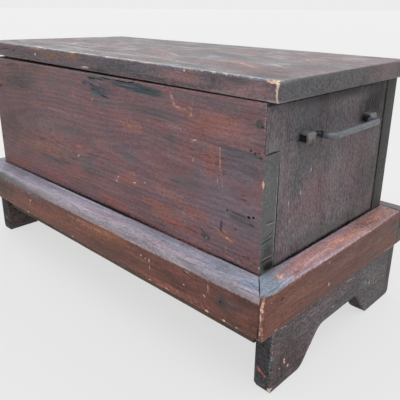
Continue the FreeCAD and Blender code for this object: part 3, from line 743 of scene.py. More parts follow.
for name, mitred in (("front_lower_board", False), ("front_upper_board", True)):
    low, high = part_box(name)
    board = sawn_board(name + "_worn", low, high)
    for side in (1, -1):
        corner = Vector((side * half_length, front_face, 0))
        if mitred:
            cut_off(board, corner, (side * front_thickness, end_thickness, 0))
        cut_off(board, corner + Vector((-side, 1, 0)) * corner_cut, (side, -1, 0))
    ease_arrises(board, width=0.7 * mm, sharp=at_front_seam)
    divide(board, cell=6 * mm)
    rub_down(board, hollow=0.3 * mm, chip=0.5 * mm, sharp=at_front_seam)
    here = [
        entry for entry in front_marks + end_grain_marks
        if entry[0][2] + entry[1][2] > low.z / mm and entry[0][2] - entry[1][2] < high.z / mm
    ]
    if not mitred:
        here = marks_below_seam + here
    front_paint = old_paint(
        name + "_paint", grain="X", heart=(0.12, -0.20, 0.30),
        coats=(oxblood, deep_plum, ember, smoke), shares=(0.6, 0.4, 0.55), marks=here, bare=interior,
        wear=(*case_box, 1.6 * mm, ash, 0.5), speckle=0.3, stripes=0.6,
    )
    fit(board, "case", "front_paint", front_paint, name)

# ---------------------------------------------------------------- back boards
# Two 36 mm boards close the back, lapped over the ends as the front is and painted once, thinly.
# The seam between them has opened, and nobody has rubbed this side, so the paint is dull and even.
end_grain_grey = (0.056, 0.057, 0.054)
back_marks = [
    on_end(side, 176, 300, 26, 190, end_grain_grey, 0.95, 0.8, 0.3, reach=2.5) for side in (1, -1)
] + [
    on_end(side, 159, 300, 1.8, 420, soot_and_shade, 0.95, 1.8, 0.5, 1, reach=4) for side in (1, -1)
]
for name in ("back_lower_board", "back_upper_board"):
    low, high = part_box(name)
    board = sawn_board(name + "_worn", low, high)
    ease_arrises(board, width=0.9 * mm)
    divide(board, cell=12 * mm)
    rub_down(board, hollow=0.4 * mm, chip=0.5 * mm)
    back_paint = old_paint(
        name + "_paint", grain="X", heart=(-0.10, 0.20, 0.33),
        coats=((0.131, 0.095, 0.095), (0.08, 0.064, 0.066), oxblood, smoke), shares=(0.6, 0.4, 0.4),
        marks=back_marks, bare=interior, wear=(low, high, 1.8 * mm, ash, 0.3),
        sheen=(0.55, 0.75), speckle=0.4, relief=0.5, figure=0.05, stripes=0.5,
    )
    fit(board, "case", "back_paint", back_paint, name)

# ---------------------------------------------------------------- floor boards
# Two thin pine boards are nailed up under the case, bare outside and in, and dark with age.
# Only the front edge of the first shows, as a dark strip under the front rail.
for name in ("floor_front_board", "floor_back_board"):
    board = sawn_board(name + "_worn", *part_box(name))
    ease_arrises(board, width=2.5 * mm, steps=3)
    divide(board, cell=20 * mm)
    rub_down(board, hollow=0.5 * mm, chip=1.0 * mm)
    aged_pine = old_paint(
        name + "_pine", grain="X", heart=(0, 0, 0.05), shares=(0.7, 0.5, 0.4),
        coats=((0.103, 0.066, 0.046), (0.052, 0.035, 0.028), (0.150, 0.086, 0.052), slate),
        bare=(interior_low - Vector((0, 0, 1 * mm)), interior_high), sheen=(0.6, 0.8),
    )
    fit(board, "case", "bare_pine", aged_pine, name)

# ---------------------------------------------------------------- base rails
# Rails 40 mm thick and 70 mm deep run round the foot of the case, mitred at the front corners.
# Their top arris is rounded over. The ledge and the upper edge of the front rail are rubbed to a lilac
# grey that also holds a painted reflection of the pale sky, while the faces below keep their red-brown paint.
mitre_land = 7 * mm
rail_fall = 1.5 * mm
rails_low = cad_low + Vector((0, 0, 110 * mm))
rails_high = Vector((cad_high.x, cad_high.y, 180 * mm))
rail_front = -220
rail_end = 420
lilac_wear_and_reflection = (0.34, 0.32, 0.39)
teal_wear_and_reflection = (0.27, 0.32, 0.39)
rail_red = (0.131, 0.053, 0.043)
rail_dark = (0.082, 0.04, 0.034)
brick = (0.191, 0.069, 0.043)
coral = (0.57, 0.28, 0.23)
dusty_pink = (0.45, 0.29, 0.35)
salmon = (0.55, 0.29, 0.22)


def base_rail(name, outward, nose):
    """A rail with its ledge falling outwards and its upper outer arris rounded to a nose."""
    low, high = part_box(name)
    rail = sawn_board(name + "_worn", low, high)
    across = Vector(outward)
    reach = max(across.dot(low), across.dot(high))
    edit(rail)
    choose(rail, "VERT", lambda corner: corner.co.z > high.z - mm and across.dot(corner.co) > reach - mm)
    bpy.ops.transform.translate(value=(0, 0, -rail_fall))
    choose(rail, "EDGE", lambda edge: all(
        corner.co.z > high.z - 2 * mm and across.dot(corner.co) > reach - mm for corner in edge.verts))
    bpy.ops.mesh.bevel(offset=nose, segments=5, affect="EDGES")
    leave()
    return rail


def finish_rail(rail, name, grain, heart, marks, wear_colour, wear_share):
    """Eases, divides and rubs a rail, and gives it its paint."""
    ease_arrises(rail, width=0.9 * mm)
    divide(rail, cell=6 * mm)
    rub_down(rail, hollow=0.3 * mm, chip=0.6 * mm)
    paint = old_paint(
        name + "_paint", grain, heart, coats=(rail_red, rail_dark, brick, smoke), shares=(0.65, 0.55, 0.1),
        marks=marks, wear=(rails_low, rails_high, 1.8 * mm, wear_colour, wear_share),
        sheen=(0.34, 0.52), speckle=0.4, relief=0.5,
    )
    fit(rail, "case", "rail_paint", paint, name)
    return paint


def on_rail(x, z, half_width, half_height, turn, stain, strength, ragged, soft, dent=0):
    """A mark on the face of the front rail, in millimetres."""
    half_size = (half_width, 4, half_height)
    return spot((x, rail_front, z), half_size, stain, strength, ragged, soft, dent, (0, turn, 0))


def on_front_ledge(x, back, half_width, half_depth, stain, strength, ragged=2.0, soft=0.7):
    """A mark on the ledge of the front rail, measured back from the front of the rail, in millimetres."""
    return spot((x, back + rail_front, 179), (half_width, half_depth, 5), stain, strength, ragged, soft)


# The lilac, grey and blue-grey rows on the ledge and its rounded nose stand for rubbed paint and a painted
# reflection of the pale sky.
front_rail_marks = [spot(*row) for row in (
    ((0, -200, 180), (700, 80, 7), lilac_wear_and_reflection, 0.96, 0.35, 0.5),
    ((0, -222, 172), (700, 12, 10), (0.27, 0.24, 0.27), 0.92, 0.3, 0.3),
    ((-330, -222, 168), (130, 12, 13), (0.091, 0.086, 0.086), 0.85, 1.6, 0.6),
    ((-220, -222, 165), (150, 12, 9), (0.129, 0.129, 0.134), 0.7, 1.8, 0.6),
)] + [on_front_ledge(*row) for row in (
    (-320, 22, 110, 24, (0.23, 0.215, 0.26), 0.85),
    (-80, 28, 190, 6, (0.27, 0.27, 0.33), 0.8),
    (60, 16, 150, 4, dusty_pink, 0.6),
    (-50, 35, 150, 2.4, (0.47, 0.46, 0.52), 0.6),
    (40, 10, 160, 2.4, (0.45, 0.41, 0.47), 0.6),
    (230, 26, 120, 2.2, (0.45, 0.46, 0.52), 0.6),
    (300, 12, 90, 2.2, (0.41, 0.43, 0.50), 0.6),
    (180, 32, 90, 4, dusty_pink, 0.65),
    (190, 20, 110, 4, teal_wear_and_reflection, 0.6),
    (215, 8, 90, 4, dusty_pink, 0.6),
    (250, 37, 45, 3, (0.39, 0.22, 0.28), 0.6),
    (335, 20, 75, 20, (0.27, 0.285, 0.35), 0.85, 2.0, 0.6),
    (350, 30, 50, 3, (0.35, 0.37, 0.43), 0.6),
)] + [spot(*row) for row in (
    ((330, -222, 172), (80, 12, 9), (0.191, 0.181, 0.21), 0.7, 2.0, 0.6),
    ((396.5, -200, 178), (28, 1.2, 9), soot_and_shade, 0.95, 0.4, 0.4, 1, (0, 0, -50.5)),
    # Painted shade: a black line along the back of the ledge, where it meets the case.
    ((0, -180, 180), (600, 3.4, 4), soot_and_shade, 0.95, 1.2, 0.7),
)] + [on_front_ledge(*row) for row in (
    (200, 32, 120, 8, (0.26, 0.28, 0.36), 0.7),
    (-250, 20, 130, 24, (0.19, 0.18, 0.22), 0.5),
    (388, 16, 30, 20, (0.20, 0.25, 0.33), 0.7),
)] + [on_rail(*row) for row in (
    (80, 148, 80, 26, 0, (0.20, 0.085, 0.045), 0.5, 2.6, 0.8),
    (370, 138, 34, 22, 0, (0.080, 0.060, 0.066), 0.6, 2.0, 0.8),
    (375, 112, 40, 5, 0, (0.10, 0.058, 0.048), 0.6, 2.0, 0.8),
    (-330, 140, 120, 24, 0, (0.058, 0.034, 0.026), 0.9, 2.4, 0.8),
    (-170, 134, 130, 14, 0, brick, 0.7, 2.6, 0.8),
    (-30, 138, 110, 12, 0, (0.160, 0.069, 0.047), 0.6, 2.6, 0.8),
    (20, 153, 90, 6, 0, (0.32, 0.140, 0.086), 0.65, 2.6, 0.8),
    (120, 128, 120, 12, 0, rail_dark, 0.6, 2.6, 0.8),
    (250, 136, 60, 16, 0, rail_dark, 0.6, 2.6, 0.8),
    (230, 116, 100, 6, 0, (0.24, 0.092, 0.064), 0.6, 2.4, 0.8),
    (385, 130, 34, 16, 0, brick, 0.7, 2.0, 0.8),
    (380, 155, 34, 7, 0, rail_dark, 0.7, 2.4, 0.8),
    (347, 142, 12, 18, 0, (0.04, 0.046, 0.043), 0.7, 2.0, 0.7),
    (345, 140, 3, 3, 0, soot_and_shade, 0.9, 0.8, 0.6, 1),
    (320, 152, 2.2, 10, -5, (0.43, 0.25, 0.160), 0.6, 1.2, 0.7),
    (313, 136, 4, 1.6, 20, white_fleck, 0.6, 0.6, 0.6),
    (275, 158, 8, 1.5, 12, soot_and_shade, 0.8, 0.6, 0.5, 1),
    (277, 160, 7, 1.0, 12, white_fleck, 0.4, 0.6, 0.5),
    (170, 149, 1.2, 3, 0, white_fleck, 0.9, 0.4, 0.5),
    (181, 147, 1.6, 1.6, 0, white_fleck, 0.7, 0.4, 0.5),
    (190, 147, 1.3, 5, 0, white_fleck, 0.9, 0.4, 0.5),
    (191, 135, 1.0, 5, 0, white_fleck, 0.5, 0.4, 0.5),
    (270, 136, 2.6, 1.8, 0, salmon, 0.8, 0.5, 0.5),
    (-195, 143, 3, 3, 0, (0.72, 0.43, 0.35), 0.9, 0.4, 0.5),
    (-198, 158, 2.4, 1.8, 0, white_fleck, 0.5, 0.4, 0.5),
    (-210, 112, 3, 2.4, 0, (0.72, 0.50, 0.43), 0.9, 0.4, 0.5),
    (-200, 130, 1.2, 12, 0, salmon, 0.35, 1.4, 0.6),
    (-38, 112, 5, 2, 0, salmon, 0.9, 0.4, 0.5),
    (232, 113, 8, 2, 10, salmon, 0.7, 0.8, 0.5),
    (190, 112, 4, 1.8, 0, peach, 0.7, 0.4, 0.5),
    (318, 112, 5, 2.5, 0, peach, 0.85, 0.6, 0.5),
    (352, 112, 3.4, 3, 0, (0.68, 0.50, 0.32), 0.85, 0.6, 0.5),
    (376, 112, 3, 1.6, 0, salmon, 0.7, 0.6, 0.5),
    (412, 118, 1.2, 12, 0, soot_and_shade, 0.95, 0.4, 0.4, 1),
    (400, 124, 2.4, 2, 0, soot_and_shade, 0.7, 0.5, 0.5, 1),
)]


def mitre_rail(rail, side, part):
    """Saws a rail to the mitre at one front corner; part is 1 for the front rail and -1 for an end rail."""
    inner_corner = Vector((side * half_length, front_face, 0))
    outer_corner = Vector((side * (cad_high.x - mitre_land), cad_low.y, 0))
    run = outer_corner - inner_corner
    cut_off(rail, inner_corner, Vector((-run.y, run.x, 0)) * side * part)


front_rail = base_rail("front_base_rail", (0, -1, 0), nose=8 * mm)
mitre_rail(front_rail, 1, 1)
mitre_rail(front_rail, -1, 1)
rail_paint = finish_rail(
    front_rail, "front_base_rail", "X", (0.1, -0.2, 0.16), front_rail_marks, salmon, 0.3)


def on_end_rail(back, z, half_depth, half_height, turn, stain, strength, ragged, soft, dent=0):
    """A mark on the face of an end rail, measured back from the front of the case, in millimetres."""
    place = (rail_end, back + case_front, z)
    return spot(place, (4, half_depth, half_height), stain, strength, ragged, soft, dent, (turn, 0, 0))


def on_side(side, marks):
    """The marks of a right-hand piece as they are, or mirrored for the left-hand one."""
    return [((side * place[0], *place[1:]), *rest) for place, *rest in marks]


def on_end_ledge(back, half_depth, stain, strength, ragged=1.0, soft=0.8, x=402, half_width=26):
    """A mark on the ledge of an end rail, measured back from the front of the case, in millimetres."""
    return spot((x, back + case_front, 179), (half_width, half_depth, 6), stain, strength, ragged, soft)


end_rail_marks = [on_end_ledge(*row) for row in (
    (170, 300, (0.42, 0.25, 0.26), 0.95, 0.6, 0.5, 400, 40),
    (150, 250, (0.34, 0.28, 0.32), 0.65, 1.4, 0.6, 417, 6),
    (170, 220, (0.36, 0.31, 0.35), 0.75, 2.4, 0.5, 383, 5),
    # Painted reflection: this row and the lilac one below stand for the pale sky on rubbed paint at the front
    # of the ledge.
    (-8, 48, (0.185, 0.222, 0.27), 0.97, 1.0, 0.4, 400, 40),
    (22, 22, lilac_wear_and_reflection, 0.85, 2.4, 0.6, 412, 10),
    (22, 17, coral, 0.6, 2.4, 0.7, 400, 9),
    (21, 10, (0.71, 0.45, 0.36), 0.75, 2.0, 0.8, 401, 6),
    (80, 50, coral, 0.6, 2.4, 0.8, 396, 7),
    (120, 80, (0.56, 0.37, 0.37), 0.6, 2.6, 0.8, 406, 5),
    (180, 50, coral, 0.75, 2.4, 0.8, 403, 11),
    (186, 12, (0.73, 0.50, 0.41), 0.8, 2.0, 0.7, 405, 4),
    (206, 10, (0.68, 0.43, 0.37), 0.7, 2.0, 0.7, 410, 5),
    (300, 110, (0.21, 0.125, 0.113), 0.85, 2.0, 0.8, 402, 30),
    (318, 62, (0.45, 0.215, 0.160), 0.85, 2.4, 0.8, 402, 10),
    (250, 40, (0.37, 0.27, 0.29), 0.6, 2.4, 0.8, 410, 9),
    (386, 28, (0.171, 0.155, 0.166), 0.9, 1.6, 0.7, 402, 30),
)] + [
    # Painted shade: a black line along the back of the end ledge, where it meets the case.
    spot((380, 0, 180), (4, 360, 4), soot_and_shade, 0.95, 1.6, 0.7),
] + [on_end_ledge(*row) for row in (
    (40, 50, (0.22, 0.24, 0.29), 0.6, 2.0, 0.7, 388, 12),
    (205, 95, (0.55, 0.27, 0.20), 0.5, 2.4, 0.8, 408, 14),
)] + [spot(*row) for row in (
    ((396.5, -200, 178), (28, 1.2, 9), soot_and_shade, 0.95, 0.4, 0.4, 1, (0, 0, -50.5)),
    ((417, -221, 150), (6, 3, 40), (0.171, 0.092, 0.069), 0.8, 0.8, 0.6),
    ((418, -220, 168), (2.6, 3, 9), (0.70, 0.43, 0.32), 0.9, 1.6, 0.6),
    ((417, -220, 160), (3.4, 3, 6), (0.71, 0.47, 0.34), 0.85, 1.6, 0.6, 0, (8, 0, 0)),
    ((416, -220, 146), (1.8, 3, 12), (0.68, 0.47, 0.39), 0.75, 1.8, 0.6),
    ((417, -220, 131), (2.8, 3, 3), (0.55, 0.32, 0.22), 0.8, 1.4, 0.6),
    ((416, -220, 122), (1.5, 3, 8), (0.61, 0.41, 0.36), 0.7, 1.8, 0.6),
    ((416, -220, 118), (1.6, 3, 2), soot_and_shade, 0.8, 0.6, 0.6, 1),
)] + [on_end_rail(*row) for row in (
    (60, 145, 110, 20, 0, (0.171, 0.077, 0.056), 0.7, 2.6, 0.9),
    (190, 150, 70, 14, 0, (0.160, 0.08, 0.064), 0.6, 2.6, 0.9),
    (310, 148, 80, 26, 0, (0.134, 0.057, 0.04), 0.75, 2.6, 0.9),
    (130, 116, 200, 7, 0, (0.086, 0.047, 0.04), 0.7, 2.0, 0.8),
    (3, 159, 4, 3.6, 0, soot_and_shade, 1.0, 0.4, 0.4, 2),
    (4, 154, 2.0, 2.0, 0, ash, 0.7, 0.8, 0.5),
    (-22, 164, 1.6, 1.6, 0, salmon, 0.8, 0.6, 0.5),
    (272, 170, 4, 1.6, -20, soot_and_shade, 0.8, 0.3, 0.5, 1),
    (262, 157, 0.9, 9, 6, salmon, 0.45, 0.5, 0.6),
    (130, 128, 1.8, 4.5, 0, white_fleck, 0.8, 0.4, 0.5),
    (125, 167, 1.6, 4, 0, (0.50, 0.37, 0.34), 0.7, 0.4, 0.5),
    (-8, 114, 4, 1.6, 0, peach, 0.6, 0.8, 0.5),
    (300, 145, 14, 9, 0, smoke, 0.4, 2.0, 0.8),
    (355, 150, 18, 22, 10, (0.075, 0.054, 0.045), 0.85, 2.4, 0.8),
    (375, 140, 14, 28, 0, (0.086, 0.059, 0.044), 0.8, 2.0, 0.8),
    (160, 111, 260, 2.6, 0, soot_and_shade, 0.6, 1.0, 0.9),
    (345, 111, 26, 1.2, 0, (0.55, 0.43, 0.34), 0.75, 0.8, 0.6),
)]
for side, name in ((1, "right_base_rail"), (-1, "left_base_rail")):
    rail = base_rail(name, (side, 0, 0), nose=3 * mm)
    mitre_rail(rail, side, -1)
    finish_rail(rail, name, "Y", (0.0, -0.4, 0.16), on_side(side, end_rail_marks), salmon, 0.3)

back_rail = base_rail("back_base_rail", (0, 1, 0), nose=3 * mm)
back_rail_marks = []
for side in (1, -1):
    back_rail_marks += [
        spot((rail_end * side, 200, 145), (6, 24, 44), (0.075, 0.066, 0.054), 0.95, 1.2, 0.5),
        spot((400 * side, 200, 180), (40, 26, 7), (0.140, 0.142, 0.142), 0.9, 1.6, 0.6),
        spot((rail_end * side, 200, 150), (6, 2, 30), soot_and_shade, 0.8, 1.4, 0.6, 1, (8, 0, 0)),
        spot((rail_end * side, 188, 140), (6, 1.4, 26), soot_and_shade, 0.7, 1.4, 0.6, 1, (-6, 0, 0)),
    ]
finish_rail(back_rail, "back_base_rail", "X", (0, 0.2, 0.15), back_rail_marks, ash, 0.35)

# ---------------------------------------------------------------- foot boards
# A 30 mm board stands under each end rail, its arch sawn out between two toes and left rough.
# Dowels and glue blocks hold it. The paint is near black, scuffed to bare wood at the toes.
arch_height = 55 * mm
arch_low = (front_face + 72 * mm, front_face + 122 * mm)
arch_rear = (front_face + 243 * mm, front_face + 286 * mm)
foot_ground = (0.104, 0.093, 0.095)
foot_dark = (0.052, 0.044, 0.049)
foot_red = (0.145, 0.088, 0.088)
# Painted shade: the front end of each foot, under the overhang of the rail, darker on the left.
toe_front_shade = {1: (0.040, 0.039, 0.042), -1: (0.020, 0.024, 0.026)}
below_ground = 20 * mm
beyond_face = 5 * mm
foot_cell = 7 * mm
cells_along = range(-26, 29)
cells_up = range(1, 16)
worn_sole = 6 * mm
foot_marks = [spot(*row) for row in (
    ((415, -80, 92), (6, 70, 14), (0.134, 0.110, 0.119), 0.7, 2.6, 0.8),
    ((415, -140, 84), (6, 34, 18), (0.077, 0.071, 0.073), 0.7, 2.6, 0.8),
    ((415, -145, 36), (6, 60, 50), (0.064, 0.045, 0.046), 0.85, 2.6, 0.8),
    ((415, -160, 14), (6, 26, 16), (0.059, 0.052, 0.047), 0.7, 2.6, 0.8),
    ((415, 0, 88), (6, 60, 18), (0.140, 0.106, 0.108), 0.6, 2.6, 0.8),
    ((415, 120, 70), (6, 50, 34), (0.119, 0.114, 0.112), 0.7, 2.6, 0.8),
    ((415, 165, 50), (6, 22, 40), (0.103, 0.086, 0.073), 0.6, 2.6, 0.8),
    # Painted shade: the next two rows darken the foot's inner face under the case and the downward-facing
    # rear cut of its arch.
    ((385, 0, 55), (4, 300, 90), (0.04, 0.033, 0.028), 0.9, 1.6, 0.6),
    ((400, 85, 27), (16, 7, 60), (0.012, 0.007, 0.005), 1.0, 0.4, 0.4, 0, (38, 0, 0)),
    ((415, 188, 60), (6, 14, 70), (0.050, 0.042, 0.038), 0.7, 1.6, 0.8),
    ((415, -112, 14), (6, 24, 12), (0.036, 0.026, 0.024), 0.7, 2.0, 0.8),
    ((398, -187, 30), (11, 3, 4), (0.30, 0.119, 0.097), 0.95, 1.2, 0.6, 0, (0, 32, 0)),
    ((398, -187, 8), (14, 3, 12), slate, 0.6, 2.0, 0.7),
    ((413, -187, 60), (2, 3, 44), (0.119, 0.129, 0.140), 0.6, 2.0, 0.7),
    ((415, -187, 6), (6, 5, 5), (0.61, 0.52, 0.41), 0.9, 1.6, 0.6),
    ((416, -187, 74), (1.6, 1.6, 30), (0.32, 0.29, 0.29), 0.7, 2.0, 0.6),
    ((416, -155, 42), (4, 3.4, 1.8), (0.72, 0.37, 0.22), 0.9, 1.2, 0.5, 0, (24, 0, 0)),
    ((416, -153, 37), (4, 1.8, 4.5), (0.70, 0.43, 0.34), 0.85, 1.2, 0.5, 0, (16, 0, 0)),
    ((416, -143, 26), (4, 2.6, 2.6), (0.70, 0.43, 0.34), 0.8, 1.6, 0.5),
    ((416, -165, 33), (4, 2.4, 1.6), (0.41, 0.26, 0.22), 0.7, 1.2, 0.5),
    ((416, 110, 60), (4, 1.8, 5), (0.61, 0.41, 0.32), 0.8, 1.2, 0.5),
    ((416, 100, 50), (4, 1.4, 3), (0.50, 0.43, 0.39), 0.6, 1.0, 0.5),
    ((416, 130, 86), (4, 0.8, 10), ash, 0.6, 0.6, 0.5),
    ((416, -20, 70), (4, 1.6, 3.6), (0.43, 0.34, 0.34), 0.7, 1.0, 0.5),
    ((416, 30, 100), (4, 26, 1.4), (0.37, 0.27, 0.22), 0.6, 2.0, 0.5, 0, (-6, 0, 0)),
    ((416, -165, 104), (4, 18, 1.4), (0.39, 0.32, 0.30), 0.6, 1.4, 0.5, 0, (-10, 0, 0)),
    ((416, 10, 108), (4, 210, 4), soot_and_shade, 0.6, 0.6, 0.8),
)]
for side, name in ((1, "right_foot_board"), (-1, "left_foot_board")):
    low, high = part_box(name)
    foot = sawn_board(name + "_worn", low, high)
    waste_low = Vector((low.x - beyond_face, arch_low[0], -below_ground))
    waste = sawn_board("waste", waste_low, Vector((high.x + beyond_face, arch_rear[1], arch_height)))
    edit(waste)
    for at, front_end in ((arch_low, True), (arch_rear, False)):
        slope = (at[1] - at[0]) / arch_height
        lean = slope * below_ground * (-1 if front_end else 1)
        inward = (at[1] - at[0]) * (1 if front_end else -1)
        edge_y = at[0] if front_end else at[1]
        choose(waste, "VERT", lambda corner: corner.co.z > 0 and abs(corner.co.y - edge_y) < mm)
        bpy.ops.transform.translate(value=(0, inward, 0))
        choose(waste, "VERT", lambda corner: corner.co.z < 0 and abs(corner.co.y - edge_y) < mm)
        bpy.ops.transform.translate(value=(0, lean, 0))
    leave()
    saw = foot.modifiers.new("arch", "BOOLEAN")
    saw.operation = "DIFFERENCE"
    saw.object = waste
    bpy.context.view_layer.objects.active = foot
    bpy.ops.object.modifier_apply(modifier="arch")
    bpy.data.objects.remove(waste)
    cut_off(foot, Vector((low.x + worn_sole, 0, 0)), (-1, 0, -1))
    edit(foot)
    for y, z, radius in (
        (arch_low[0], 0, 9 * mm), (arch_low[1], arch_height, 12 * mm), (arch_rear[0], arch_height, 3 * mm),
        (arch_rear[1], 0, 5 * mm), (high.y, 0, 9 * mm), (low.y, 0, 3 * mm),
    ):
        choose(foot, "EDGE", lambda edge: all(
            abs(corner.co.y - y) < 0.5 * mm and abs(corner.co.z - z) < 0.5 * mm for corner in edge.verts))
        bpy.ops.mesh.bevel(offset=radius, offset_type="OFFSET", segments=5, affect="EDGES")
    leave()
    ease_arrises(foot, width=1.0 * mm)
    edit(foot)
    for cell in cells_along:
        bpy.ops.mesh.select_all(action="SELECT")
        bpy.ops.mesh.bisect(plane_co=(0, cell * foot_cell, 0), plane_no=(0, 1, 0))
    for cell in cells_up:
        bpy.ops.mesh.select_all(action="SELECT")
        bpy.ops.mesh.bisect(plane_co=(0, 0, cell * foot_cell), plane_no=(0, 0, 1))
    leave()
    rub_down(foot, hollow=0.3 * mm, chip=0.5 * mm)
    # Painted shade darkens the front end of the foot to near black.
    toe_shade = spot((400, -187, 50), (30, 4, 90), toe_front_shade[side], 0.95, 1.0, 0.6)
    marks = on_side(side, [toe_shade, *foot_marks])
    foot_paint = old_paint(
        name + "_paint", grain="Y", heart=(0.05, -0.4, 0.12),
        coats=(foot_ground, foot_dark, foot_red, smoke), shares=(0.75, 0.5, 0.45), marks=marks,
        wear=(low, high, 1.8 * mm, ash, 0.35),
        sheen=(0.45, 0.7), speckle=0.9, relief=0.9, stripes=0.6,
    )
    fit(foot, "case", "foot_paint", foot_paint, name)

for side in ("left", "right"):
    coat(aged_pine, side + "_foot_blocks", side + "_foot_dowels")

# ---------------------------------------------------------------- lid
# Two 28 mm planks, held side by side by battens nailed under them, warped so that a corner lifts.
# Weather has greyed the paint on top, the front arris is worn to bare wood, and the underside was
# never painted where it closes the chest.
lid_thickness = 28 * mm
lid_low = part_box("lid_front_plank")[0]
lid_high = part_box("lid_rear_plank")[1]
lid_rise = {-1: 6.5 * mm, 1: 1.0 * mm}
lid_grey = (0.193, 0.179, 0.187)
lid_dark = (0.103, 0.100, 0.108)
lid_rose = (0.29, 0.186, 0.186)
lid_pale = (0.35, 0.35, 0.36)
cream = (0.77, 0.61, 0.46)
denim = (0.150, 0.181, 0.23)
lid_top = 452
lid_underside = 422
lid_front = -177
lid_reach = 394
middle_rise = 3.75
twist = 2.75


def on_lid(x, back, half_width, half_depth, turn, stain, strength, ragged, soft):
    """A mark on the top of the lid, measured back from the front of the case, in millimetres."""
    place = (x, back + case_front, lid_top)
    return spot(place, (half_width, half_depth, 8), stain, strength, ragged, soft, turn=(0, 0, turn))


def on_lid_edge(x, z, half_width, half_height, stain, strength, ragged, soft, dent=0):
    """A mark on the front edge of the lid, z up from its underside, in millimetres."""
    rise = middle_rise - x / lid_reach * twist
    place = (x, lid_front, lid_underside + rise + z)
    return spot(place, (half_width, 5, half_height), stain, strength, ragged, soft, dent)


